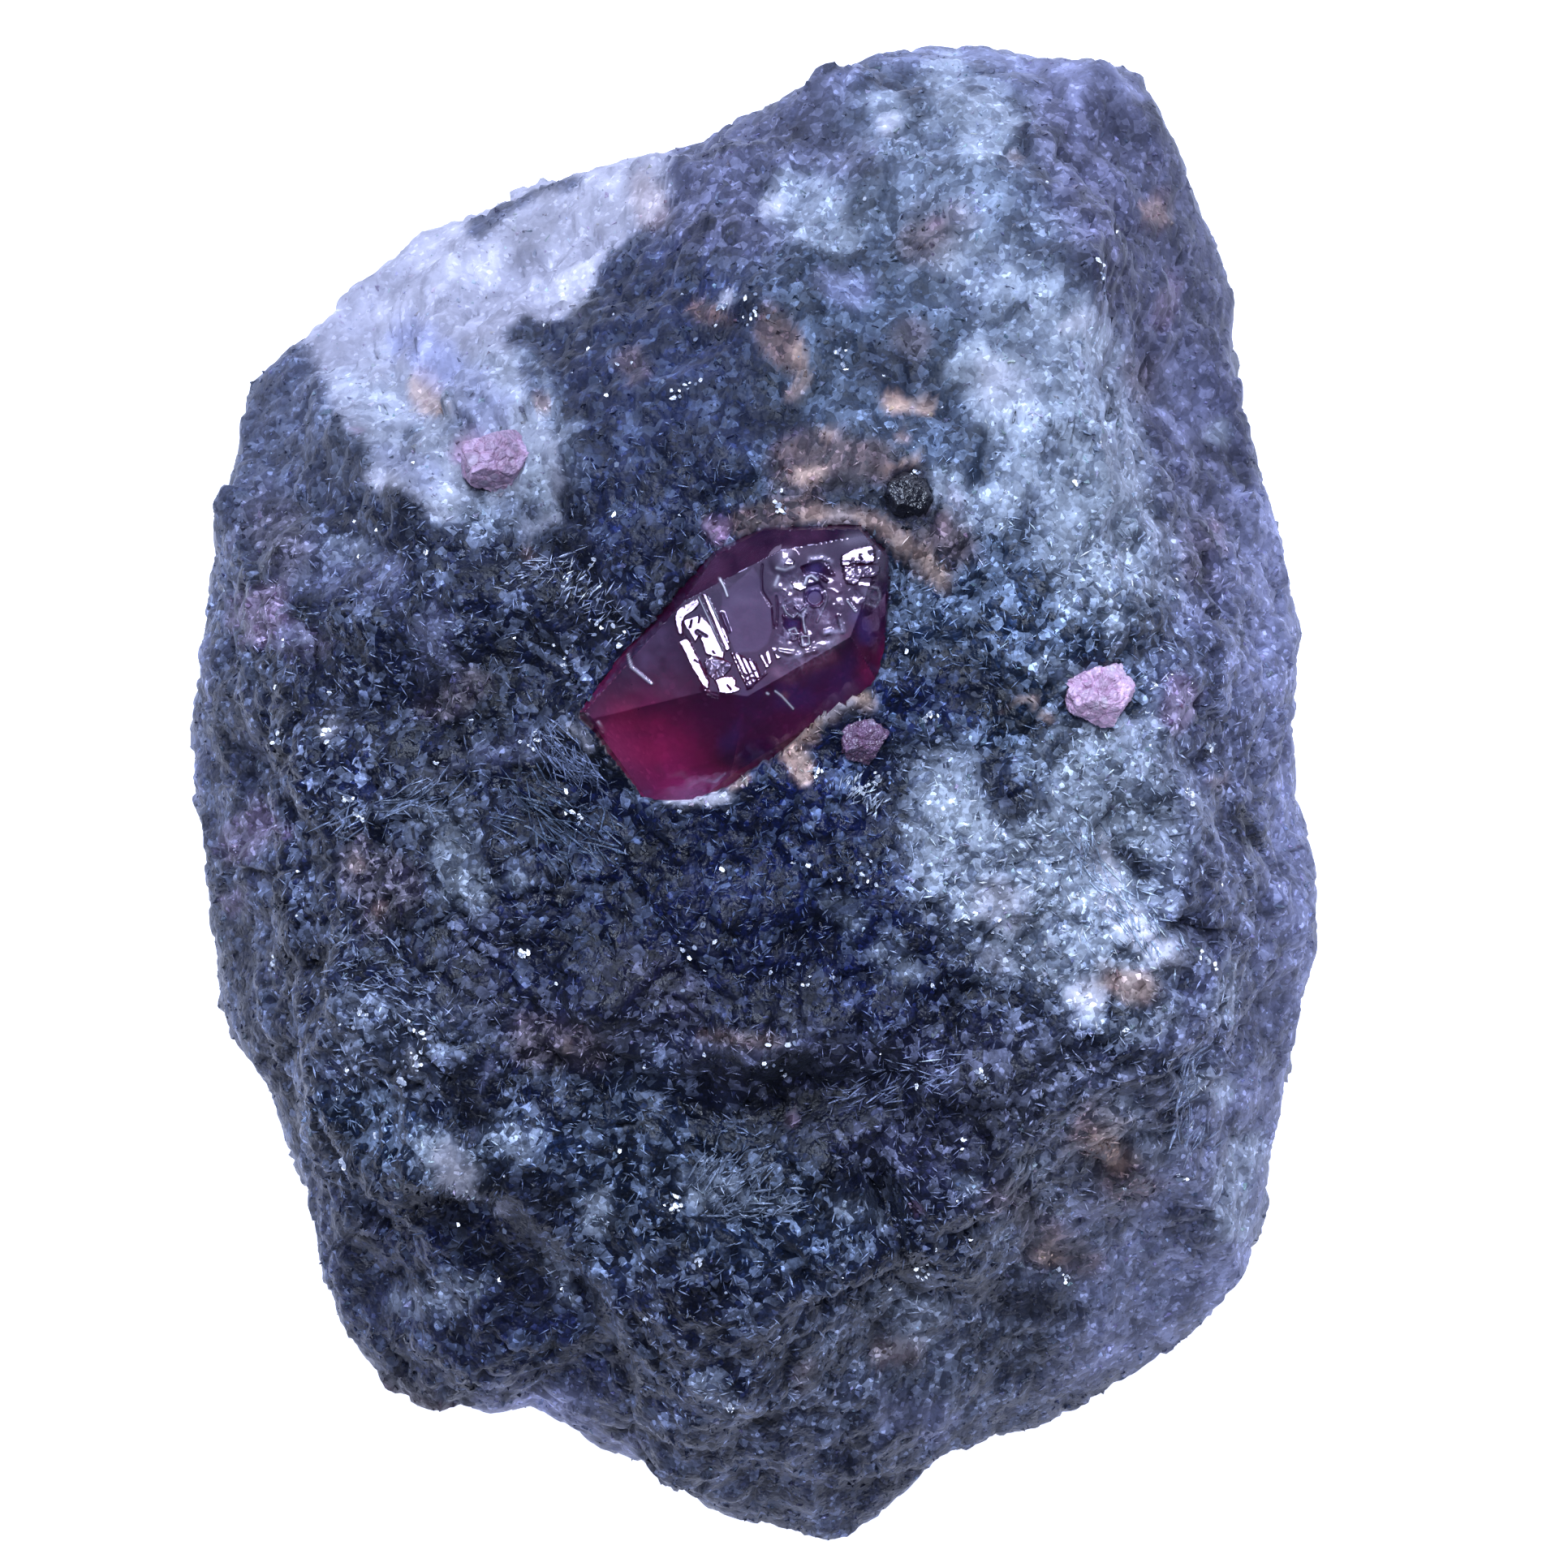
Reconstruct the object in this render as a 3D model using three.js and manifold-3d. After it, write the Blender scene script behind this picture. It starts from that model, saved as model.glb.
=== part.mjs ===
// Ruby crystal on matrix: a hand specimen of dark amphibole rock that was broken out so that
// its red corundum crystal faces up. Millimetres, +Z up, +Y towards the blunt end of the stone.
// The origin is the middle of the flat break that the stone lies on.
//
// The matrix is two shells that share one rim, the waist. Each shell is a square grid drawn
// on a disc and stretched to the outline of the stone. The crystals are cut from planes, and
// each sits in a socket made of the same planes set back by the seat gap.

import * as THREE from 'three';
import { ConvexGeometry } from 'three/addons/geometries/ConvexGeometry.js';
import { mergeVertices } from 'three/addons/utils/BufferGeometryUtils.js';
import Module from 'manifold-3d';

// ---- Driving dimensions, millimetres and degrees --------------------------------------------

const WAIST_HEIGHT = 7.6;         // height of the widest section over the resting face
const CROWN_HEIGHT = 19.7;       // rock surface beside the ruby
const TERRACE_HEIGHT = 20.8;     // top terrace of the ruby
const BASE_DEPTH = 0.9;          // how far the underside is carried below the resting cut
const TAPER_REACH = 260;         // the stone narrows upwards as if to a point this far above its waist
const SEAT_GAP = 0.3;            // clearance between a crystal and its socket
const GRID_CELLS = 46;           // cells along each side of a shell's grid
const RIM_CROWDING = 0.22;       // how much the grid closes up towards the rim
const TOP_FULLNESS = 6.5;        // higher is squarer where the top turns into the sides
const BASE_FULLNESS = 6.5;
const EDGE_WEAR = 0.45;          // rounding where two fracture faces of the top meet
const LUMP_HEIGHT = 0.17;        // height of the broadest waves that make up the lumps
const LUMP_WAVES = 14;
const LONGEST_WAVE = 11;
const SHORTEST_WAVE = 2.4;
const WAVE_OFFSET = 1.7;         // radians, sets the waves out of step with each other
const CALM_RIM = 0.45;           // share of a shell's height over which the lumps die away at the waist

// The waist line wanders up and down round the stone: waves with their turns, start and rise.
const WAIST_WAVES = [
  { turns: 2, start: 0.6, rise: 1.1 },
  { turns: 3, start: 2.0, rise: 0.6 },
];

// Widest outline of the stone, anticlockwise from the right side.
const OUTLINE = [
  [16.2, 1.9], [16.6, 4.7], [16.1, 7.1], [15.1, 10.3], [14.4, 13.0], [14.5, 14.9],
  [13.9, 16.6], [12.8, 19.2], [12.3, 20.3], [11.7, 21.5], [11.1, 21.8], [9.5, 21.9],
  [7.7, 22.2], [7.0, 22.4], [5.3, 22.4], [4.0, 22.2], [2.8, 21.7], [1.7, 21.0],
  [-0.8, 19.9], [-1.6, 19.4], [-4.1, 18.8], [-6.4, 18.2], [-8.0, 17.4], [-9.8, 16.8],
  [-11.7, 15.3], [-13.8, 13.5], [-15.3, 12.1], [-15.5, 10.0], [-16.1, 7.4], [-16.6, 4.5],
  [-16.9, 1.8], [-16.9, 0.2], [-16.5, -1.4], [-16.3, -4.8], [-16.1, -6.4], [-15.4, -7.8],
  [-14.7, -8.9], [-14.1, -10.6], [-13.4, -11.9], [-12.9, -14.6], [-12.1, -16.6], [-11.1, -18.1],
  [-9.4, -18.8], [-8.9, -18.5], [-7.9, -18.8], [-6.7, -18.6], [-4.6, -19.8], [-3.3, -20.2],
  [-1.9, -21.2], [-1.3, -21.7], [0.6, -22.2], [2.2, -22.5], [2.8, -22.4], [3.8, -21.7],
  [5.5, -20.1], [7.1, -19.5], [8.9, -19.1], [12.1, -17.2], [13.9, -15.6], [14.8, -14.4],
  [15.5, -12.5], [15.8, -10.2], [16.3, -7.0], [16.9, -4.7], [17.0, -2.6], [16.4, -0.3],
];

// Fracture faces of the top: each passes through a point and falls towards a compass angle.
const TOP_FACES = [
  { through: [0, 4, CROWN_HEIGHT], toward: 250, slope: 0.03 },
  { through: [-5.0, 8.2, CROWN_HEIGHT], toward: 141, slope: 0.6 },
  { through: [2.0, 11.0, CROWN_HEIGHT + 0.2], toward: 84, slope: 0.52 },
  { through: [-6.5, 3.0, CROWN_HEIGHT - 0.2], toward: 172, slope: 0.42 },
  { through: [0, -9.5, CROWN_HEIGHT], toward: 262, slope: 0.3 },
  { through: [1.0, -16.5, CROWN_HEIGHT - 2.2], toward: 275, slope: 0.85 },
  { through: [-9.5, -11.5, CROWN_HEIGHT - 1.0], toward: 226, slope: 0.6 },
  { through: [11.0, -13.0, CROWN_HEIGHT - 1.0], toward: 312, slope: 0.8 },
];

// The east side falls away from a bent shoulder, given from north to south.
const EAST_SHOULDER = [
  [11.6, 23.0], [10.6, 18.0], [9.2, 13.4], [11.0, 8.0], [11.9, 5.4], [13.0, -4.3],
  [14.4, -10.4], [13.0, -16.0],
];
const EAST_SLOPE = 1.15;
const SHOULDER_HEIGHT = CROWN_HEIGHT + 0.3;

// Rounded ridges and hollows: a line on the surface, its half width and its height or depth.
const RIDGES = [
  { line: [[5.4, 21.0], [9.0, 13.9], [10.7, 8.6], [9.6, 4.0], [8.5, -0.6]], width: 1.7, rise: 0.6 },
  { line: [[8.5, -0.6], [12.2, -4.8]], width: 1.7, rise: 0.5 },
  { line: [[-4.2, -6.8], [0, -7.5], [3.6, -7.0]], width: 1.3, rise: 0.55 },
  { line: [[-3.4, -9.2], [0, -9.8], [3.6, -9.0]], width: 1.1, rise: -1.2 },
  { line: [[-6.6, 7.9], [-5.2, 6.2], [-4.9, 4.9]], width: 1.3, rise: -0.9 },
  { line: [[-8.2, -13.9], [-4.9, -16.0], [-2.6, -18.2]], width: 1.5, rise: -0.8 },
  { line: [[3.8, -11.7], [4.3, -13.2], [4.9, -14.8]], width: 0.7, rise: -1.0 },
  { line: [[6.4, -14.6], [8.3, -15.4], [10.0, -14.8]], width: 0.9, rise: -0.8 },
  { line: [[11.2, -2.0], [11.9, -2.6]], width: 0.8, rise: -0.8 },
  { line: [[-13.8, 3.9], [-11.2, 2.4]], width: 1.2, rise: -0.6 },
  { line: [[-12.4, -5.2], [-9.6, -9.6]], width: 1.8, rise: 0.6 },
  { line: [[-10.4, 8.6], [-6.2, 10.4]], width: 1.6, rise: 0.35 },
];

// Ledges: walking along the line, the rock on the right stands lower by the drop, and comes
// back up over the reach.
const LEDGES = [
  { line: [[-11.4, -11.6], [-7.5, -12.3], [-5.5, -14.2], [-4.1, -16.2], [-3.2, -18.4]], drop: 1.9, reach: 9 },
  { line: [[12.0, -5.9], [12.9, -4.9], [12.6, -3.4]], drop: 1.1, reach: 3 },
  { line: [[-9.0, 8.0], [-5.9, 9.0], [-6.9, 13.6], [-4.0, 16.6], [-2.4, 18.6]], drop: -0.45, reach: 6 },
  { line: [[3.8, -16.8], [-0.5, -13.6], [-3.6, -12.6]], drop: 0.7, reach: 4 },
];
const LEDGE_WIDTH = 1.1;         // plan width of a ledge's steep step
const LEDGE_RUN_OUT = 0.16;      // share of a ledge's length over which each end dies away

// Breaks across the sides and the underside. Tilt is measured from straight up, so more than
// 90 faces down. Each plane is as deep as it can be without cutting the waist.
const SIDE_BREAKS = [
  { toward: 18, tilt: 64 }, { toward: 52, tilt: 60 }, { toward: 88, tilt: 66 },
  { toward: 122, tilt: 58 }, { toward: 152, tilt: 62 }, { toward: 186, tilt: 66 },
  { toward: 228, tilt: 58 }, { toward: 262, tilt: 64 }, { toward: 300, tilt: 58 },
  { toward: 344, tilt: 70 }, { toward: 4, tilt: 112 }, { toward: 46, tilt: 124 },
  { toward: 98, tilt: 116 }, { toward: 137, tilt: 130 }, { toward: 178, tilt: 116 },
  { toward: 222, tilt: 126 }, { toward: 268, tilt: 114 }, { toward: 318, tilt: 127 },
];

// The ruby is a low tabular crystal with worn rhombohedral faces. A face passes through a
// point and its normal leans by the tilt towards the angle.
const RUBY_TOP = [
  { through: [0, 5, TERRACE_HEIGHT], toward: 0, tilt: 0 },
  { through: [-1.8, 4.3, TERRACE_HEIGHT], toward: 200, tilt: 12 },
  { through: [-0.8, 2.9, TERRACE_HEIGHT], toward: 262, tilt: 30 },
  { through: [1.6, 3.8, TERRACE_HEIGHT], toward: 300, tilt: 38 },
  { through: [3.3, 5.5, TERRACE_HEIGHT], toward: 340, tilt: 45 },
  { through: [-0.8, 6.3, TERRACE_HEIGHT], toward: 118, tilt: 52 },
  { through: [1.8, 7.35, TERRACE_HEIGHT], toward: 100, tilt: 55 },
];
const RUBY_SIDES = [
  { through: [-3.68, 3.8, 19.8], toward: 140, tilt: 78 },
  { through: [-4.0, 1.15, 19.5], toward: 220, tilt: 76 },
  { through: [-2.5, -0.15, 19.0], toward: 268, tilt: 72 },
  { through: [1.5, 1.54, 19.2], toward: 302, tilt: 76 },
  { through: [4.0, 5.5, 19.6], toward: 355, tilt: 80 },
  { through: [3.6, 7.5, 19.8], toward: 45, tilt: 78 },
  { through: [2.5, 7.8, 19.8], toward: 92, tilt: 80 },
  { through: [-0.7, 7.15, 19.8], toward: 118, tilt: 76 },
];
const RUBY_UNDERSIDE = [
  { through: [0, 4, 16.6], toward: 0, tilt: 180 },
  { through: [3.4, 4.5, 17.8], toward: 20, tilt: 132 },
  { through: [-4.2, 2.6, 17.8], toward: 200, tilt: 132 },
  { through: [0, 6.9, 17.8], toward: 110, tilt: 130 },
  { through: [0, 0.9, 17.8], toward: 290, tilt: 130 },
];

// Growth terraces on the ruby: bars from one end to the other, with a slightly leaning top.
const RUBY_TERRACES = [
  { from: [-2.15, 4.65], to: [-1.25, 2.95], width: 0.26, rise: 0.1 },
  { from: [-1.8, 5.25], to: [-1.05, 3.85], width: 0.5, rise: 0.24 },
  { from: [-1.5, 5.9], to: [-0.65, 4.15], width: 0.24, rise: 0.36 },
  { from: [-1.05, 3.3], to: [-0.35, 3.02], width: 0.42, rise: 0.14 },
  { from: [-0.3, 4.0], to: [0.2, 3.28], width: 0.62, rise: 0.2 },
  { from: [0.55, 4.05], to: [0.8, 3.7], width: 0.5, rise: 0.14 },
  { from: [0.7, 5.2], to: [2.9, 5.8], width: 1.9, rise: 0.12 },
  { from: [2.75, 6.9], to: [3.65, 6.95], width: 1.0, rise: 0.3 },
  { from: [0.65, 6.75], to: [1.15, 6.8], width: 0.5, rise: 0.32 },
];
const TERRACE_ROOT = 0.6;        // how deep a terrace is rooted in the crystal
const TERRACE_LEAN = 7;
const TERRACE_LEAN_TOWARD = 75;

// Smaller grains in the top: centre, half sizes, turn, and how far they stand out.
const GRAINS = [
  {
    name: 'pink_corundum_right', center: [10.4, 2.9], half: [0.98, 0.74, 0.85],
    turn: 12, proud: 0.35, faces: 13,
  },
  {
    name: 'pink_corundum_left', center: [-7.7, 9.9], half: [0.95, 0.75, 0.8],
    turn: 25, proud: 0.15, faces: 12,
  },
  { name: 'ruby_small', center: [3.35, 1.5], half: [0.68, 0.5, 0.6], turn: 32, proud: 0.35, faces: 11 },
  { name: 'dark_grain', center: [4.7, 8.75], half: [0.72, 0.7, 0.65], turn: 0, proud: 0.1, faces: 22 },
];
const SOCKET_CEILING = 30;       // sockets are open upwards to here
const SOCKET_OPENING = 0.35;     // a face whose normal rises more than this is left out of a socket
const CUTTING_SLAB = { width: 80, depth: 20 };

const LOOKS = {
  matrix: { color: 0x4a5070, roughness: 0.75, metalness: 0 },
  ruby_crystal: { color: 0x8c1436, roughness: 0.15, metalness: 0 },
  ruby_small: { color: 0x6e2a58, roughness: 0.35, metalness: 0 },
  pink_corundum_right: { color: 0xcbb0dc, roughness: 0.45, metalness: 0 },
  pink_corundum_left: { color: 0x9a6c98, roughness: 0.45, metalness: 0 },
  dark_grain: { color: 0x14121c, roughness: 0.2, metalness: 0 },
};

// ---- Small maths ----------------------------------------------------------------------------

const WELD = 1e-5;               // corners closer than this are one corner
const SLACK = 1e-6;              // a corner may lie this far outside a plane
const PARALLEL = 1e-4;           // planes whose normals span less than this never meet
const GOLDEN_ANGLE = Math.PI * (3 - Math.sqrt(5));
const radians = THREE.MathUtils.degToRad;

/** Unit vector that leans from straight up by the tilt, towards the angle. */
function leaning(toward, tilt) {
  const out = Math.sin(radians(tilt));
  return new THREE.Vector3(
    out * Math.cos(radians(toward)),
    out * Math.sin(radians(toward)),
    Math.cos(radians(tilt)),
  );
}

/** Direction number i of a count of directions spread evenly over a sphere. */
function spreadDirection(i, count) {
  const up = 1 - (2 * i + 1) / count;
  const out = Math.sqrt(1 - up * up);
  return new THREE.Vector3(out * Math.cos(i * GOLDEN_ANGLE), out * Math.sin(i * GOLDEN_ANGLE), up);
}

/** Share by which the plan shrinks at a height, so that the stone narrows upwards. */
function taperAt(z) {
  return 1 - (z - WAIST_HEIGHT) / TAPER_REACH;
}

/** Soft step from 0 to 1 between 0 and 1. */
function smoothStep(t) {
  const c = Math.min(1, Math.max(0, t));
  return c * c * (3 - 2 * c);
}

/** Nearest point of a line of points: distance, side (positive on the right), share along. */
function nearestOnLine(line, x, y) {
  let best = { distance: Infinity, side: 0, along: 0 };
  for (let i = 0; i + 1 < line.length; i += 1) {
    const [ax, ay] = line[i];
    const [dx, dy] = [line[i + 1][0] - ax, line[i + 1][1] - ay];
    const t = Math.min(1, Math.max(0, ((x - ax) * dx + (y - ay) * dy) / (dx * dx + dy * dy)));
    const distance = Math.hypot(x - ax - t * dx, y - ay - t * dy);
    if (distance < best.distance) {
      const side = Math.sign((x - ax) * dy - (y - ay) * dx);
      best = { distance, side, along: (i + t) / (line.length - 1) };
    }
  }
  return best;
}

// ---- Shape of the matrix --------------------------------------------------------------------

const RAYS = OUTLINE
  .map(([x, y]) => ({ x, y, angle: Math.atan2(y, x) }))
  .sort((a, b) => a.angle - b.angle);

/** Distance from the middle to the straight-sided outline, along an angle. */
function outlineRadius(angle) {
  let next = RAYS.findIndex((ray) => ray.angle > angle);
  if (next < 0) {
    next = 0;
  }
  const b = RAYS[next];
  const a = RAYS[(next + RAYS.length - 1) % RAYS.length];
  const across = Math.cos(angle) * (b.y - a.y) - Math.sin(angle) * (b.x - a.x);
  return (a.x * b.y - a.y * b.x) / across;
}

/** Height of the waist line at an angle. */
function rimHeight(angle) {
  return WAIST_WAVES.reduce(
    (height, { turns, start, rise }) => height + rise * Math.sin(turns * angle + start),
    WAIST_HEIGHT,
  );
}

/** Height of the top before its sides turn down: the lowest fracture face, edges worn. */
function topHeight(x, y) {
  const heights = TOP_FACES.map(({ through, toward, slope }) => {
    const [east, north] = [x - through[0], y - through[1]];
    return through[2] - slope * (east * Math.cos(radians(toward)) + north * Math.sin(radians(toward)));
  });
  heights.push(SHOULDER_HEIGHT - EAST_SLOPE * (x - shoulderAt(y)));
  const lowest = Math.min(...heights);
  const crowd = heights.reduce((sum, h) => sum + Math.exp((lowest - h) / EDGE_WEAR), 0);
  return lowest - EDGE_WEAR * Math.log(crowd) + relief(x, y);
}

/** X of the east shoulder at a Y. */
function shoulderAt(y) {
  const points = EAST_SHOULDER;
  const i = points.findIndex((point) => point[1] <= y);
  if (i === 0) {
    return points[0][0];
  }
  if (i < 0) {
    return points[points.length - 1][0];
  }
  const [above, below] = [points[i - 1], points[i]];
  const t = (above[1] - y) / (above[1] - below[1]);
  return above[0] + t * (below[0] - above[0]);
}

/** Ridges, hollows and ledges of the top, added to its fracture faces. */
function relief(x, y) {
  let height = 0;
  for (const { line, width, rise } of RIDGES) {
    height += rise * Math.exp(-((nearestOnLine(line, x, y).distance / width) ** 2));
  }
  for (const { line, drop, reach } of LEDGES) {
    const { distance, side, along } = nearestOnLine(line, x, y);
    const below = side * distance;
    const ends = smoothStep(along / LEDGE_RUN_OUT) * smoothStep((1 - along) / LEDGE_RUN_OUT);
    height -= drop * ends * smoothStep(below / LEDGE_WIDTH + 0.5) * Math.exp(-Math.max(0, below) / reach);
  }
  return height;
}

/** Lumps of the broken surface: waves in evenly spread directions, shorter ones lower. */
function lumps(point) {
  let height = 0;
  for (let i = 0; i < LUMP_WAVES; i += 1) {
    const wave = LONGEST_WAVE * (SHORTEST_WAVE / LONGEST_WAVE) ** (i / (LUMP_WAVES - 1));
    const phase = (2 * Math.PI * point.dot(spreadDirection(i, LUMP_WAVES))) / wave + WAVE_OFFSET * i * i;
    height += LUMP_HEIGHT * Math.sqrt(wave / LONGEST_WAVE) * Math.sin(phase);
  }
  return height;
}

/** Radius and angle on the unit disc of a point of the square from -1 to 1. */
function discFromSquare(a, b) {
  if (a === 0 && b === 0) {
    return { radius: 0, angle: 0 };
  }
  const wide = Math.abs(a) > Math.abs(b);
  const signed = wide ? a : b;
  const turn = wide ? (Math.PI / 4) * (b / a) : Math.PI / 2 - (Math.PI / 4) * (a / b);
  const angle = signed < 0 ? turn + Math.PI : turn;
  return { radius: Math.abs(signed), angle: Math.atan2(Math.sin(angle), Math.cos(angle)) };
}

/** Point of the waist line at an angle. */
function rimPoint(angle) {
  const reach = outlineRadius(angle);
  return new THREE.Vector3(reach * Math.cos(angle), reach * Math.sin(angle), rimHeight(angle));
}

const HEART = new THREE.Vector3(0, 0, WAIST_HEIGHT);
const RIM = RAYS.map(({ angle }) => rimPoint(angle).sub(HEART));
const BREAKS = SIDE_BREAKS.map(({ toward, tilt }) => {
  const normal = leaning(toward, tilt);
  return { normal, distance: Math.max(...RIM.map((point) => normal.dot(point))) };
});

/** Point of the upper (side 1) or lower (side -1) shell for a point of the grid's square. */
function shellPoint(a, b, side) {
  const { radius, angle } = discFromSquare(a, b);
  const share = radius * (1 + RIM_CROWDING * (1 - radius ** 4));
  const point = rimPoint(angle);
  const rim = point.z;
  point.x *= share;
  point.y *= share;
  const fullness = side > 0 ? TOP_FULLNESS : BASE_FULLNESS;
  const profile = Math.sqrt(Math.max(0, 1 - share ** fullness));
  const far = side > 0 ? topHeight(point.x, point.y) : -BASE_DEPTH;
  point.z = rim + (far - rim) * profile;
  const fromHeart = point.clone().sub(HEART);
  for (const { normal, distance } of BREAKS) {
    const reach = normal.dot(fromHeart);
    if (reach > distance) {
      fromHeart.multiplyScalar(distance / reach);
    }
  }
  const swell = lumps(fromHeart) * smoothStep(profile / CALM_RIM);
  fromHeart.multiplyScalar(1 + swell / Math.max(1, fromHeart.length()));
  point.copy(HEART).add(fromHeart);
  const taper = taperAt(point.z);
  return [point.x * taper, point.y * taper, point.z];
}

/** Both shells as one closed geometry: they share the points of the rim. */
function buildShells() {
  const side = GRID_CELLS + 1;
  const positions = [];
  const upper = [];
  const lower = [];
  for (let row = 0; row < side; row += 1) {
    for (let column = 0; column < side; column += 1) {
      const a = (2 * column) / GRID_CELLS - 1;
      const b = (2 * row) / GRID_CELLS - 1;
      upper.push(positions.length / 3);
      positions.push(...shellPoint(a, b, 1));
      const onRim = Math.max(Math.abs(a), Math.abs(b)) === 1;
      lower.push(onRim ? upper[upper.length - 1] : positions.length / 3);
      if (!onRim) {
        positions.push(...shellPoint(a, b, -1));
      }
    }
  }
  const triangles = [];
  for (let row = 0; row < GRID_CELLS; row += 1) {
    for (let column = 0; column < GRID_CELLS; column += 1) {
      const corner = row * side + column;
      const corners = [corner, corner + 1, corner + side + 1, corner + side];
      addCell(triangles, corners.map((k) => upper[k]), row, column);
      addCell(triangles, corners.map((k) => lower[k]).reverse(), row, column);
    }
  }
  const geometry = new THREE.BufferGeometry();
  geometry.setAttribute('position', new THREE.Float32BufferAttribute(positions, 3));
  geometry.setIndex(triangles);
  return geometry;
}

/** Two triangles of a cell, split so that the diagonals point at the middle of the grid. */
function addCell(triangles, [a, b, c, d], row, column) {
  const towardMiddle = (row < GRID_CELLS / 2) === (column < GRID_CELLS / 2);
  if (towardMiddle) {
    triangles.push(a, b, c, a, c, d);
  } else {
    triangles.push(a, b, d, b, c, d);
  }
}

// ---- Solids ---------------------------------------------------------------------------------

const wasm = await Module();
wasm.setup();

/** Solid of a closed geometry. */
function solidOf(geometry) {
  const bare = geometry.clone();
  bare.deleteAttribute('normal');
  bare.deleteAttribute('uv');
  const merged = mergeVertices(bare, WELD);
  const mesh = new wasm.Mesh({
    numProp: 3,
    vertProperties: new Float32Array(merged.attributes.position.array),
    triVerts: new Uint32Array(merged.index.array),
  });
  return new wasm.Manifold(mesh);
}

/** Geometry of a solid. */
function geometryOf(solid) {
  const mesh = solid.getMesh();
  const geometry = new THREE.BufferGeometry();
  geometry.setAttribute('position', new THREE.Float32BufferAttribute(mesh.vertProperties, 3));
  geometry.setIndex(Array.from(mesh.triVerts));
  return geometry;
}

/** Plane of a crystal face, its point drawn in by the stone's taper and set out by grow. */
function facePlane({ through, toward, tilt }, grow = 0) {
  const normal = leaning(toward, tilt);
  const taper = taperAt(through[2]);
  const point = new THREE.Vector3(through[0] * taper, through[1] * taper, through[2]);
  return { normal, distance: normal.dot(point) + grow };
}

/** Solid inside all the planes: its corners are where three planes meet inside the rest. */
function solidInside(planes) {
  const corners = [];
  for (let i = 0; i < planes.length; i += 1) {
    for (let j = i + 1; j < planes.length; j += 1) {
      for (let k = j + 1; k < planes.length; k += 1) {
        const corner = meetingPoint(planes[i], planes[j], planes[k]);
        if (corner && planes.every(({ normal, distance }) => normal.dot(corner) < distance + SLACK)) {
          corners.push(corner);
        }
      }
    }
  }
  return solidOf(new ConvexGeometry(corners));
}

/** Point where three planes meet, or null where two of them are nearly parallel. */
function meetingPoint(p, q, r) {
  const qr = q.normal.clone().cross(r.normal);
  const volume = p.normal.dot(qr);
  if (Math.abs(volume) < PARALLEL) {
    return null;
  }
  const rp = r.normal.clone().cross(p.normal);
  const pq = p.normal.clone().cross(q.normal);
  return qr.multiplyScalar(p.distance)
    .addScaledVector(rp, q.distance)
    .addScaledVector(pq, r.distance)
    .divideScalar(volume);
}

/** Level plane that closes a socket far above the stone. */
const CEILING = { normal: new THREE.Vector3(0, 0, 1), distance: SOCKET_CEILING };

/** Terrace of the ruby: a bar with upright sides and a leaning top. */
function terrace({ from, to, width, rise }) {
  const taper = taperAt(TERRACE_HEIGHT);
  const start = new THREE.Vector3(from[0] * taper, from[1] * taper, TERRACE_HEIGHT);
  const end = new THREE.Vector3(to[0] * taper, to[1] * taper, TERRACE_HEIGHT);
  const along = end.clone().sub(start).normalize();
  const across = new THREE.Vector3(-along.y, along.x, 0);
  const middle = start.clone().add(end).multiplyScalar(0.5);
  const crest = leaning(TERRACE_LEAN_TOWARD, TERRACE_LEAN);
  const planes = [
    { normal: along, distance: along.dot(end) },
    { normal: along.clone().negate(), distance: -along.dot(start) },
    { normal: across, distance: across.dot(middle) + width / 2 },
    { normal: across.clone().negate(), distance: -across.dot(middle) + width / 2 },
    { normal: crest, distance: crest.dot(middle) + rise },
    { normal: new THREE.Vector3(0, 0, -1), distance: -(TERRACE_HEIGHT - TERRACE_ROOT) },
  ];
  return solidInside(planes);
}

/** Planes of a rough grain: evenly spread directions, each at the distance of an ellipsoid. */
function grainPlanes({ center, half, turn, proud, faces }, grow) {
  const ground = surfaceHeight(center);
  const taper = taperAt(ground);
  const middle = new THREE.Vector3(center[0] * taper, center[1] * taper, ground + proud - half[2]);
  const planes = [];
  for (let i = 0; i < faces; i += 1) {
    const normal = spreadDirection(i, faces);
    const local = normal.clone().applyAxisAngle(new THREE.Vector3(0, 0, 1), -radians(turn));
    const reach = Math.hypot(local.x * half[0], local.y * half[1], local.z * half[2]);
    planes.push({ normal, distance: normal.dot(middle) + reach + grow });
  }
  return planes;
}

/** Height of the stone's top, lumps and all, over a point of the plan. */
function surfaceHeight([x, y]) {
  const point = new THREE.Vector3(x, y, topHeight(x, y) - WAIST_HEIGHT);
  return WAIST_HEIGHT + point.z * (1 + lumps(point) / point.length());
}

/** Socket planes: the grown planes that face sideways or down, open upwards. */
function socketPlanes(planes) {
  return [...planes.filter(({ normal }) => normal.z < SOCKET_OPENING), CEILING];
}

const rubyFaces = [...RUBY_TOP, ...RUBY_SIDES, ...RUBY_UNDERSIDE];

function buildRuby() {
  let ruby = solidInside(rubyFaces.map((face) => facePlane(face)));
  for (const bar of RUBY_TERRACES) {
    ruby = ruby.add(terrace(bar));
  }
  return ruby;
}

function buildMatrix() {
  let matrix = solidOf(buildShells());
  const { width, depth } = CUTTING_SLAB;
  const slab = new THREE.BoxGeometry(width, width, depth).translate(0, 0, -depth / 2);
  matrix = matrix.subtract(solidOf(slab));
  matrix = matrix.subtract(solidInside(socketPlanes(rubyFaces.map((face) => facePlane(face, SEAT_GAP)))));
  for (const grain of GRAINS) {
    matrix = matrix.subtract(solidInside(socketPlanes(grainPlanes(grain, SEAT_GAP))));
  }
  return matrix;
}

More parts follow.
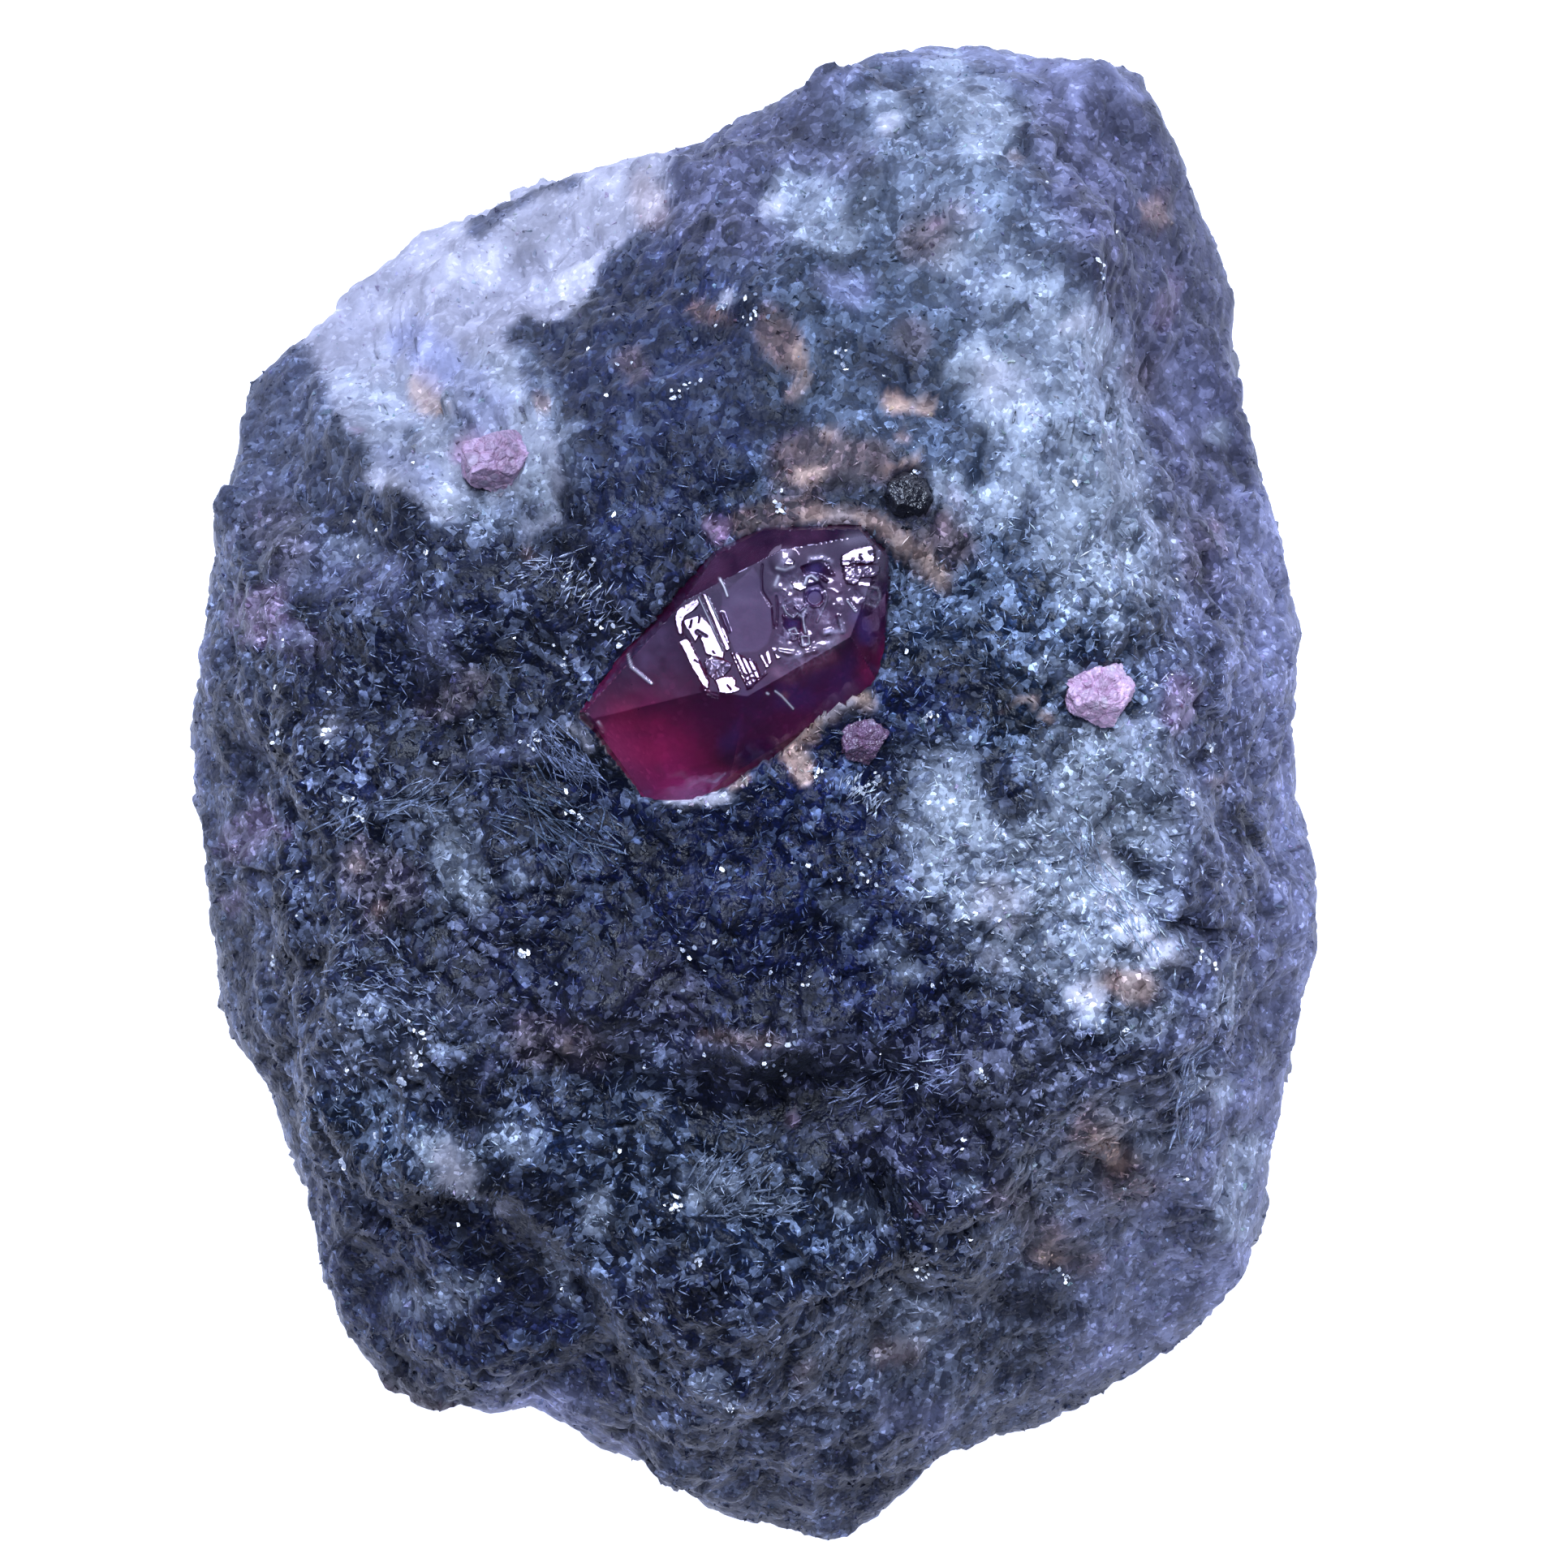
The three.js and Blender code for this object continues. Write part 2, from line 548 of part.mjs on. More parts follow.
// ---- The specimen ---------------------------------------------------------------------------

const specimen = new THREE.Group();

/** Adds a solid to the specimen as a named mesh in its own finish. */
function addPiece(name, solid) {
  const mesh = new THREE.Mesh(geometryOf(solid), new THREE.MeshStandardMaterial(LOOKS[name]));
  mesh.name = name;
  specimen.add(mesh);
}

addPiece('matrix', buildMatrix());
addPiece('ruby_crystal', buildRuby());
for (const grain of GRAINS) {
  addPiece(grain.name, solidInside(grainPlanes(grain, 0)));
}

export default specimen;
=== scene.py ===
"""Ruby crystal on matrix: a hand specimen of dark amphibole rock with a red corundum crystal.

The rock, its loose-looking grains, the ruby and the smaller crystals are each worked out as
surfaces with numpy, in millimetres, and put into meshes in metres in the frame of the CAD model.
"""

import bpy
import numpy as np
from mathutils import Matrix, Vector


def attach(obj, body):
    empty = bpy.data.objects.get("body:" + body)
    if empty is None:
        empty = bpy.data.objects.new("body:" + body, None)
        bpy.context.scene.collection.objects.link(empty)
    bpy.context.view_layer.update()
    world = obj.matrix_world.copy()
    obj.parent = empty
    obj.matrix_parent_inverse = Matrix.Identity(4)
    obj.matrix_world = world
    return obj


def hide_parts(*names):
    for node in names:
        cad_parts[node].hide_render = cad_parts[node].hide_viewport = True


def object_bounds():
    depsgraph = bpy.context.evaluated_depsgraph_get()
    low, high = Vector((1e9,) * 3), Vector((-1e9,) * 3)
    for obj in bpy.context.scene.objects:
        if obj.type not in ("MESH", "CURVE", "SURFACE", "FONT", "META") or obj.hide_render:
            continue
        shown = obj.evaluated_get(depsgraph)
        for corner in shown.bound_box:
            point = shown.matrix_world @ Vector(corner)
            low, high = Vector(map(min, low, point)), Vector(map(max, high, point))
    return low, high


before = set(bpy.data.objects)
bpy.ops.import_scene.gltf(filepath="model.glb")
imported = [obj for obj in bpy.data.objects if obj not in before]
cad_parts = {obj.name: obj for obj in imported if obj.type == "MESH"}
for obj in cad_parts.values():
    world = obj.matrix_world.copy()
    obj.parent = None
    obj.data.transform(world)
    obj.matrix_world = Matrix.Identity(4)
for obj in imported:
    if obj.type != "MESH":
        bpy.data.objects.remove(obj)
cad_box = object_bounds()


# ---- Matrix, the lump of rock -----------------------------------------------------------------
# One lump of fine dark amphibole rock with a pale feldspar seam, broken out by hand. Its skin is
# all fracture: broad tilted faces, ledges, hollows and grains. It lies on a flat break.

MM = 0.001                       # metres in a millimetre
WAIST_HEIGHT = 7.6
CROWN_HEIGHT = 19.7
TERRACE_HEIGHT = 20.8
BASE_DEPTH = 0.9
TAPER_REACH = 260
TOP_FULLNESS = 6.5
BASE_FULLNESS = 6.5
EDGE_WEAR = 0.45
LUMP_HEIGHT = 0.17
LUMP_WAVES = 14
LONGEST_WAVE = 11
SHORTEST_WAVE = 2.4
WAVE_OFFSET = 1.7
CALM_RIM = 0.45
WAIST_WAVES = [(2, 0.6, 1.1), (3, 2.0, 0.6)]     # turns, start and rise
GOLDEN_ANGLE = np.pi * (3 - np.sqrt(5))

# Widest outline of the stone, anticlockwise from the right side.
OUTLINE = [
    (16.2, 1.9), (16.6, 4.7), (16.1, 7.1), (15.1, 10.3), (14.4, 13.0), (14.5, 14.9),
    (13.9, 16.6), (12.8, 19.2), (12.3, 20.3), (11.7, 21.5), (11.1, 21.8), (9.5, 21.9),
    (7.7, 22.2), (7.0, 22.4), (5.3, 22.4), (4.0, 22.2), (2.8, 21.7), (1.7, 21.0),
    (-0.8, 19.9), (-1.6, 19.4), (-4.1, 18.8), (-6.4, 18.2), (-8.0, 17.4), (-9.8, 16.8),
    (-11.7, 15.3), (-13.8, 13.5), (-15.3, 12.1), (-15.5, 10.0), (-16.1, 7.4), (-16.6, 4.5),
    (-16.9, 1.8), (-16.9, 0.2), (-16.5, -1.4), (-16.3, -4.8), (-16.1, -6.4), (-15.4, -7.8),
    (-14.7, -8.9), (-14.1, -10.6), (-13.4, -11.9), (-12.9, -14.6), (-12.1, -16.6), (-11.1, -18.1),
    (-9.4, -18.8), (-8.9, -18.5), (-7.9, -18.8), (-6.7, -18.6), (-4.6, -19.8), (-3.3, -20.2),
    (-1.9, -21.2), (-1.3, -21.7), (0.6, -22.2), (2.2, -22.5), (2.8, -22.4), (3.8, -21.7),
    (5.5, -20.1), (7.1, -19.5), (8.9, -19.1), (12.1, -17.2), (13.9, -15.6), (14.8, -14.4),
    (15.5, -12.5), (15.8, -10.2), (16.3, -7.0), (16.9, -4.7), (17.0, -2.6), (16.4, -0.3),
]

# Fracture faces of the top: a point that each passes through, the compass angle that it falls
# towards, and its slope.
TOP_FACES = [
    ((0, 4, CROWN_HEIGHT), 250, 0.03),
    ((-5.0, 8.2, CROWN_HEIGHT), 141, 0.6),
    ((2.0, 11.0, CROWN_HEIGHT + 0.2), 84, 0.52),
    ((-6.5, 3.0, CROWN_HEIGHT - 0.2), 172, 0.42),
    ((0, -9.5, CROWN_HEIGHT), 262, 0.3),
    ((1.0, -16.5, CROWN_HEIGHT - 2.2), 275, 0.85),
    ((-9.5, -11.5, CROWN_HEIGHT - 1.0), 226, 0.6),
    ((11.0, -13.0, CROWN_HEIGHT - 1.0), 312, 0.8),
]
EAST_SHOULDER = [
    (11.6, 23.0), (10.6, 18.0), (9.2, 13.4), (11.0, 8.0), (11.9, 5.4), (13.0, -4.3),
    (14.4, -10.4), (13.0, -16.0),
]
EAST_SLOPE = 1.15
SHOULDER_HEIGHT = CROWN_HEIGHT + 0.3

# Ridges and hollows: a line on the surface, its half width and its rise.
RIDGES = [
    ([(5.4, 21.0), (9.0, 13.9), (10.7, 8.6), (9.6, 4.0), (8.5, -0.6)], 1.7, 0.6),
    ([(8.5, -0.6), (12.2, -4.8)], 1.7, 0.5),
    ([(-4.2, -6.8), (0, -7.5), (3.6, -7.0)], 1.3, 0.55),
    ([(-3.4, -9.2), (0, -9.8), (3.6, -9.0)], 1.1, -1.2),
    ([(-6.6, 7.9), (-5.2, 6.2), (-4.9, 4.9)], 1.3, -0.9),
    ([(-8.2, -13.9), (-4.9, -16.0), (-2.6, -18.2)], 1.5, -0.8),
    ([(3.8, -11.7), (4.3, -13.2), (4.9, -14.8)], 0.4, -1.1),
    ([(6.4, -14.6), (8.3, -15.4), (10.0, -14.8)], 0.7, -0.8),
    ([(11.2, -2.0), (11.9, -2.6)], 0.6, -0.9),
    ([(-13.8, 3.9), (-11.2, 2.4)], 1.2, -0.6),
    ([(-12.4, -5.2), (-9.6, -9.6)], 1.8, 0.6),
    ([(-10.4, 8.6), (-6.2, 10.4)], 1.6, 0.35),
]

# Ledges: walking along the line, the rock on the right stands lower by the drop, and comes back
# up over the reach.
LEDGES = [
    ([(-11.4, -11.6), (-7.5, -12.3), (-5.5, -14.2), (-4.1, -16.2), (-3.2, -18.4)], 1.9, 9),
    ([(12.0, -5.9), (12.9, -4.9), (12.6, -3.4)], 1.1, 3),
    ([(-9.0, 8.0), (-5.9, 9.0), (-6.9, 13.6), (-4.0, 16.6), (-2.4, 18.6)], -0.45, 6),
    ([(3.8, -16.8), (-0.5, -13.6), (-3.6, -12.6)], 0.7, 4),
]
LEDGE_WIDTH = 0.45
LEDGE_RUN_OUT = 0.16

# Breaks across the sides and the underside: the angle each faces and its tilt from straight up.
SIDE_BREAKS = [
    (18, 64), (52, 60), (88, 66), (122, 58), (152, 62), (186, 66), (228, 58), (262, 64), (300, 58),
    (344, 70), (4, 112), (46, 124), (98, 116), (137, 130), (178, 116), (222, 126), (268, 114),
    (318, 127),
]


def smooth_step(t):
    """0 below 0, 1 above 1, and between them three times the square less twice the cube."""
    t = np.clip(t, 0, 1)
    return t * t * (3 - 2 * t)


def leaning(toward, tilt):
    """Unit vector that leans from straight up by the tilt, towards the angle, in degrees."""
    toward, tilt = np.radians(toward), np.radians(tilt)
    return np.array([np.sin(tilt) * np.cos(toward), np.sin(tilt) * np.sin(toward), np.cos(tilt)])


def spread_direction(i, count):
    """Direction i of a golden-angle spiral of a count of directions over a sphere."""
    up = 1 - (2 * i + 1) / count
    out = np.sqrt(1 - up * up)
    return np.array([out * np.cos(i * GOLDEN_ANGLE), out * np.sin(i * GOLDEN_ANGLE), up])


def line_distance(line, x, y):
    """Distance to a bent line, side (1 on the right) and share along it: the nearest point of
    each straight stretch is tried in turn, and the nearest of all is kept."""
    best, side, along = np.full(x.shape, np.inf), np.zeros(x.shape), np.zeros(x.shape)
    for i, ((ax, ay), (bx, by)) in enumerate(zip(line, line[1:])):
        dx, dy = bx - ax, by - ay
        t = np.clip(((x - ax) * dx + (y - ay) * dy) / (dx * dx + dy * dy), 0, 1)
        distance = np.hypot(x - ax - t * dx, y - ay - t * dy)
        near = distance < best
        best = np.where(near, distance, best)
        side = np.where(near, np.sign((x - ax) * dy - (y - ay) * dx), side)
        along = np.where(near, (i + t) / (len(line) - 1), along)
    return best, side, along


def path_distance(line, x, y):
    """Distance to a bent line, or to a single spot."""
    if len(line) == 1:
        return np.hypot(x - line[0][0], y - line[0][1])
    return line_distance(line, x, y)[0]


def bell(line, width, x, y):
    """Bell curve of the distance to a bent line or a spot: 1 on it, and the power of e with the
    square of distance over width, taken negative, beside it."""
    return np.exp(-(path_distance(line, x, y) / width) ** 2)


def inside_distance(outline, x, y):
    """Distance to a closed outline, positive inside: the sign turns at each edge that a ray to
    the right crosses."""
    closed = list(outline) + [outline[0]]
    distance, _, _ = line_distance(closed, x, y)
    inside = np.zeros(x.shape, bool)
    for (ax, ay), (bx, by) in zip(closed, closed[1:]):
        if ay != by:
            crosses = ((ay > y) != (by > y)) & (x < ax + (y - ay) * (bx - ax) / (by - ay))
            inside ^= crosses
    return np.where(inside, distance, -distance)


def outline_radius(angle):
    """Distance from the middle to the straight-sided outline: the ray is cut with the side
    between the two outline points on either side of its angle."""
    points = np.array(OUTLINE)
    turns = np.arctan2(points[:, 1], points[:, 0])
    order = np.argsort(turns)
    points, turns = points[order], turns[order]
    after = np.searchsorted(turns, angle, side="right") % len(turns)
    a, b = points[after - 1], points[after]
    across = np.cos(angle) * (b[..., 1] - a[..., 1]) - np.sin(angle) * (b[..., 0] - a[..., 0])
    return (a[..., 0] * b[..., 1] - a[..., 1] * b[..., 0]) / across


def rim_height(angle):
    """Height of the waist: its mean and the waves that make it wander."""
    return WAIST_HEIGHT + sum(rise * np.sin(turns * angle + start) for turns, start, rise in WAIST_WAVES)


def relief(x, y):
    """Ridges and hollows as bell curves of the distance to their lines, and ledges as a smooth
    step across the line that dies away over the reach and at both ends."""
    height = np.zeros(x.shape)
    for line, width, rise in RIDGES:
        height += rise * bell(line, width, x, y)
    for line, drop, reach in LEDGES:
        distance, side, along = line_distance(line, x, y)
        below = side * distance
        ends = smooth_step(along / LEDGE_RUN_OUT) * smooth_step((1 - along) / LEDGE_RUN_OUT)
        step = smooth_step(below / LEDGE_WIDTH + 0.5)
        height -= drop * ends * step * np.exp(-np.maximum(0, below) / reach)
    return height


def top_height(x, y):
    """Height of the top: the soft minimum of the fracture faces, plus the relief."""
    heights = []
    for (px, py, pz), toward, slope in TOP_FACES:
        toward = np.radians(toward)
        heights.append(pz - slope * ((x - px) * np.cos(toward) + (y - py) * np.sin(toward)))
    shoulder = np.array(EAST_SHOULDER)[::-1]
    heights.append(SHOULDER_HEIGHT - EAST_SLOPE * (x - np.interp(y, shoulder[:, 1], shoulder[:, 0])))
    heights = np.array(heights)
    lowest = heights.min(axis=0)
    crowd = np.exp((lowest - heights) / EDGE_WEAR).sum(axis=0)
    return lowest - EDGE_WEAR * np.log(crowd) + relief(x, y)


def lumps(p):
    """Sum of sine waves in evenly spread directions, the shorter ones lower."""
    height = np.zeros(len(p))
    for i in range(LUMP_WAVES):
        wave = LONGEST_WAVE * (SHORTEST_WAVE / LONGEST_WAVE) ** (i / (LUMP_WAVES - 1))
        phase = 2 * np.pi * (p @ spread_direction(i, LUMP_WAVES)) / wave + WAVE_OFFSET * i * i
        height += LUMP_HEIGHT * np.sqrt(wave / LONGEST_WAVE) * np.sin(phase)
    return height


def scatter(cell, salt):
    """Evenly spread number from 0 to 1 for each whole-number cell, by mixing its bits."""
    mixed = (cell[:, 0] * 73856093) ^ (cell[:, 1] * 19349663) ^ (cell[:, 2] * 83492791)
    mixed = (mixed ^ (salt * 2654435761)) & 0xFFFFFFFF
    mixed = ((mixed ^ (mixed >> 15)) * 2246822519) & 0xFFFFFFFF
    mixed = ((mixed ^ (mixed >> 13)) * 3266489917) & 0xFFFFFFFF
    return (mixed ^ (mixed >> 16)) / 4294967296


NEIGHBOURS = np.array([(i, j, k) for i in (-1, 0, 1) for j in (-1, 0, 1) for k in (-1, 0, 1)])


def grain_field(p, size, salt):
    """Space is filled with one seed to each cube, and the seed nearest to each point is found.
    Returns that grain's own number, the point's height on the grain's own tilted face, and how
    far it lies from the next grain, both in grain sizes."""
    q = p / size
    base = np.floor(q).astype(np.int64)
    first, second = np.full(len(p), 9.0), np.full(len(p), 9.0)
    number, slope = np.zeros(len(p)), np.zeros(len(p))
    for offset in NEIGHBOURS:
        cell = base + offset
        away = q - cell - np.stack([scatter(cell, salt + i) for i in range(3)], axis=1)
        distance = np.sqrt((away ** 2).sum(axis=1))
        near = distance < first
        second = np.where(near, first, np.minimum(second, distance))
        tilt = np.stack([scatter(cell, salt + 3 + i) for i in range(3)], axis=1) - 0.5
        number = np.where(near, scatter(cell, salt + 6), number)
        slope = np.where(near, (tilt * away).sum(axis=1), slope)
        first = np.minimum(first, distance)
    return number, slope, second - first


def soft_noise(p, size, salt):
    """Number from -1 to 1 that wanders smoothly: each cube's corners hold scattered numbers and
    the point between them gets their smooth-step blend."""
    q = p / size
    base = np.floor(q).astype(np.int64)
    blend = smooth_step(q - base)
    total = np.zeros(len(p))
    for corner in NEIGHBOURS[(NEIGHBOURS >= 0).all(axis=1)]:
        weight = np.prod(np.where(corner == 1, blend, 1 - blend), axis=1)
        total += weight * scatter(base + corner, salt)
    return 2 * total - 1


def cloud(p, size, salt, octaves=4):
    """Soft noise of halving sizes, each half as strong, scaled back to about -1 to 1."""
    total = sum(soft_noise(p, size / 2 ** i, salt + i) / 2 ** i for i in range(octaves))
    return total / 1.4


# Grains of the break: size, how unevenly they stand, how their faces tilt, how deep the seams are.
BREAK_GRAINS = [(2.9, 0.10, 0.16, 0.05), (1.25, 0.16, 0.3, 0.1), (0.55, 0.2, 0.45, 0.12)]
SEAM_WIDTH = 0.09                # in grain sizes


def granular(p):
    """Fine relief of the break: for each grain size, the grain's own height, its tilted face and
    a seam that is deepest where two grains meet."""
    height = np.zeros(len(p))
    for i, (size, uneven, tilt, seam) in enumerate(BREAK_GRAINS):
        number, slope, border = grain_field(p, size, 40 + 10 * i)
        height += size * (uneven * (number - 0.5) + tilt * slope - seam * np.exp(-border / SEAM_WIDTH))
    return height


HEART = np.array([0, 0, WAIST_HEIGHT])
RIM_ANGLES = np.arctan2(np.array(OUTLINE)[:, 1], np.array(OUTLINE)[:, 0])
RIM = np.stack([
    outline_radius(RIM_ANGLES) * np.cos(RIM_ANGLES),
    outline_radius(RIM_ANGLES) * np.sin(RIM_ANGLES),
    rim_height(RIM_ANGLES) - WAIST_HEIGHT,
], axis=1)
BREAKS = [(leaning(*face), (RIM @ leaning(*face)).max()) for face in SIDE_BREAKS]
RIM_INSET = 0.12                 # the grains of the skin are set in by this much
RIM_GRAIN = 0.4                  # share of the grains' relief that is left at the rim


def taper_at(z):
    """Share by which the plan shrinks at a height, so that the stone narrows upwards."""
    return 1 - (z - WAIST_HEIGHT) / TAPER_REACH


def skin_point(share, angle, upper):
    """Point of the stone's skin. The outline is shrunk by the share, and the height goes from
    the waist to the far face as the root of one less a power of the share. Then the point is
    drawn towards the heart to behind every break plane, moved out by lumps and grains, and
    the plan is tapered."""
    reach = share * outline_radius(angle)
    x, y, rim = reach * np.cos(angle), reach * np.sin(angle), rim_height(angle)
    profile = np.sqrt(np.clip(1 - share ** (TOP_FULLNESS if upper else BASE_FULLNESS), 0, 1))
    far = top_height(x, y) if upper else -BASE_DEPTH
    p = np.stack([x, y, rim + (far - rim) * profile - WAIST_HEIGHT], axis=1)
    for normal, distance in BREAKS:
        depth = p @ normal
        p *= np.where(depth > distance, distance / np.maximum(depth, distance), 1)[:, None]
    swell = lumps(p) * smooth_step(profile / CALM_RIM) - RIM_INSET
    swell = swell + granular(p) * (RIM_GRAIN + (1 - RIM_GRAIN) * smooth_step(profile / CALM_RIM))
    p *= (1 + swell / np.maximum(1, np.linalg.norm(p, axis=1)))[:, None]
    p += HEART
    p[:, :2] *= taper_at(p[:, 2])[:, None]
    return p


# The ruby's faces: a point that each passes through, the angle its normal leans towards and the
# tilt of the normal. The visible outline is where the rock closes round it.
RUBY_TOP = [
    ((0, 5, TERRACE_HEIGHT), 0, 0),
    ((-1.8, 4.3, TERRACE_HEIGHT), 200, 12),
    ((-0.8, 2.9, TERRACE_HEIGHT), 262, 30),
    ((1.6, 3.8, TERRACE_HEIGHT), 300, 38),
    ((3.3, 5.5, TERRACE_HEIGHT), 340, 45),
    ((-0.8, 6.3, TERRACE_HEIGHT), 118, 44),
    ((1.8, 7.35, TERRACE_HEIGHT), 100, 38),
]
RUBY_SIDES = [
    ((-3.68, 3.8, 19.8), 140, 78),
    ((-4.0, 1.15, 19.5), 220, 76),
    ((-2.5, -0.15, 19.0), 268, 72),
    ((1.3, 1.72, 19.2), 302, 76),
    ((4.0, 5.5, 19.6), 355, 80),
    ((3.6, 7.5, 19.8), 45, 78),
    ((2.5, 7.8, 19.8), 92, 80),
    ((-0.7, 7.15, 19.8), 118, 76),
]
RUBY_UNDERSIDE = [
    ((0, 4, 16.6), 0, 180),
    ((3.4, 4.5, 17.8), 20, 132),
    ((-4.2, 2.6, 17.8), 200, 132),
    ((0, 6.9, 17.8), 110, 130),
    ((0, 0.9, 17.8), 290, 130),
]
RUBY_SHOWS = [
    (-5.2, 2.2), (-4.0, 3.8), (-2.3, 5.7), (-1.4, 6.8), (-0.1, 7.5), (1.7, 7.7), (3.2, 7.8), (3.9, 7.1),
    (4.0, 5.9), (3.8, 5.2), (3.9, 4.1), (3.6, 3.2), (3.0, 2.85), (1.9, 2.3), (1.4, 1.65), (0.9, 1.15),
    (0.2, 0.8), (-0.7, 0.1), (-1.9, -0.3), (-3.2, -0.2), (-4.1, 0.9), (-4.7, 1.8),
]


def face_height(face, x, y):
    """Height of a crystal face's plane over a point, its own point drawn in by the taper."""
    (px, py, pz), toward, tilt = face
    normal = leaning(toward, tilt)
    taper = taper_at(pz)
    return pz - (normal[0] * (x - px * taper) + normal[1] * (y - py * taper)) / normal[2]


def ruby_underside(x, y):
    """Highest of the planes of the ruby's underside."""
    return np.max([face_height(face, x, y) for face in RUBY_UNDERSIDE], axis=0)


SOCKET_TAPER = taper_at(CROWN_HEIGHT)
SOCKET_OUTLINE = [(x * SOCKET_TAPER, y * SOCKET_TAPER) for x, y in RUBY_SHOWS]
SOCKET_WALL = 0.08               # plan width of the socket's wall
SOCKET_HOLD = 0.1                # the socket's floor stands this far into the crystal's underside


def cut_socket(p):
    """Inside the outline where the ruby shows, the rock goes down to the ruby's underside over
    the width of the socket's wall."""
    x, y = p[:, 0], p[:, 1]
    floor = ruby_underside(x, y) + SOCKET_HOLD
    depth = smooth_step(inside_distance(SOCKET_OUTLINE, x, y) / SOCKET_WALL + 0.5)
    p[:, 2] = np.where(p[:, 2] > floor, p[:, 2] + (floor - p[:, 2]) * depth, p[:, 2])
    return p


# Smaller crystals that the rock holds: middle in plan, half sizes, turn, how far each stands out
# and its number of faces.
SMALL_CRYSTALS = {
    "pink_corundum_right": ((10.4, 2.9), (0.98, 0.74, 0.85), 12, 0.35, 13),
    "pink_corundum_left": ((-7.7, 9.9), (0.95, 0.75, 0.8), 25, 0.15, 12),
    "ruby_small": ((3.35, 1.5), (0.68, 0.5, 0.6), 32, 0.35, 11),
    "dark_grain": ((4.7, 8.75), (0.72, 0.7, 0.65), 0, 0.1, 22),
}
SEAT_DEPTH = 0.5                 # the rock is this much lower under them
SEAT_EDGE = 0.12                 # width of the step round a seat, in half sizes of the crystal
SEAT_REACH = 0.92                # and how far from the middle it lies


def crystal_distance(name, x, y):
    """Distance from a small crystal's middle in plan, 1 on its ellipse."""
    (cx, cy), half, turn = SMALL_CRYSTALS[name][:3]
    cx, cy, turn = cx * SOCKET_TAPER, cy * SOCKET_TAPER, np.radians(turn)
    along = (x - cx) * np.cos(turn) + (y - cy) * np.sin(turn)
    across = (y - cy) * np.cos(turn) - (x - cx) * np.sin(turn)
    return np.hypot(along / half[0], across / half[1])


def cut_seats(p):
    """Inside each small crystal's ellipse the rock is lower by the seat's depth, with a smooth
    step at the edge."""
    for name in SMALL_CRYSTALS:
        distance = crystal_distance(name, p[:, 0], p[:, 1])
        p[:, 2] -= SEAT_DEPTH * smooth_step((SEAT_REACH - distance) / SEAT_EDGE + 0.5)
    return p


UPPER_CELLS = 276                # cells along a side of the upper skin's grid
RIM_CROWDING = 0.22
LOWER_RINGS = 18                 # rings of the lower skin, from the waist to the resting face


def disc_grid(cells):
    """Radius and angle of a square grid drawn on the disc, with its index and its rim's indices:
    each point keeps the larger of its two coordinates as radius, and the ratio of the two gives
    its angle."""
    line = np.linspace(-1, 1, cells + 1)
    a, b = (g.ravel() for g in np.meshgrid(line, line))
    wide = np.abs(a) > np.abs(b)
    radius, other = np.where(wide, a, b), np.where(wide, b, a)
    ratio = np.divide(other, radius, out=np.zeros(a.shape), where=radius != 0)
    angle = np.where(wide, ratio * np.pi / 4, np.pi / 2 - ratio * np.pi / 4)
    angle = np.where(radius < 0, angle + np.pi, angle)
    index = np.arange((cells + 1) ** 2).reshape(cells + 1, -1)
    rim = np.concatenate([index[0, :-1], index[:-1, -1], index[-1, :0:-1], index[:0:-1, 0]])
    return np.abs(radius), np.arctan2(np.sin(angle), np.cos(angle)), index, rim


def closed_shell(upper, index, rim, rings_below, bottom):
    """Points and faces of a closed shell: a square grid above, rings below that start from the
    grid's rim, and a fan of triangles to the bottom point."""
    points = np.concatenate([upper, rings_below, [bottom]])
    quads = np.stack([index[:-1, :-1], index[:-1, 1:], index[1:, 1:], index[1:, :-1]], axis=-1)
    rings = len(upper) + np.arange(len(rings_below)).reshape(-1, len(rim))
    rings = np.concatenate([rim[None], rings])
    turned = np.roll(rings, -1, axis=1)
    strips = np.stack([turned[:-1], rings[:-1], rings[1:], turned[1:]], axis=-1)
    fan = np.stack([turned[-1], rings[-1], np.full(len(rim), len(points) - 1)], axis=-1)
    return points, [quads.reshape(-1, 4), strips.reshape(-1, 4), fan]


def rock_skin():
    """The whole skin: the square grid above the waist, its points crowded a little to the rim,
    and below it rings that go from the same rim points down to the resting face."""
    radius, angle, index, rim = disc_grid(UPPER_CELLS)
    share = radius * (1 + RIM_CROWDING * (1 - radius ** 4))
    upper = cut_socket(cut_seats(skin_point(share, angle, True)))
    descent = np.linspace(0, np.pi / 2, LOWER_RINGS + 2)[1:-1]
    ring_share = np.cos(descent) ** (2 / BASE_FULLNESS)
    lower = skin_point(np.repeat(ring_share, len(rim)), np.tile(angle[rim], LOWER_RINGS), False)
    lower[:, 2] = np.maximum(0, lower[:, 2])
    return closed_shell(upper, index, rim, lower, [0, 0, 0])


def new_piece(name, points, faces, smooth=False):
    """Mesh object at the origin from points in millimetres and lists of faces of equal size."""
    points = np.asarray(points, float) * MM
    mesh = bpy.data.meshes.new(name)
    sizes = np.concatenate([np.full(len(f), f.shape[1]) for f in faces])
    loops = np.concatenate([f.ravel() for f in faces])
    mesh.vertices.add(len(points))
    mesh.vertices.foreach_set("co", points.ravel())
    mesh.loops.add(len(loops))
    mesh.loops.foreach_set("vertex_index", loops)
    mesh.polygons.add(len(sizes))
    mesh.polygons.foreach_set("loop_start", np.concatenate([[0], np.cumsum(sizes)[:-1]]))
    mesh.polygons.foreach_set("use_smooth", np.full(len(sizes), smooth))
    mesh.update(calc_edges=True)
    mesh.validate()
    piece = bpy.data.objects.new(name, mesh)
    bpy.context.scene.collection.objects.link(piece)
    return piece


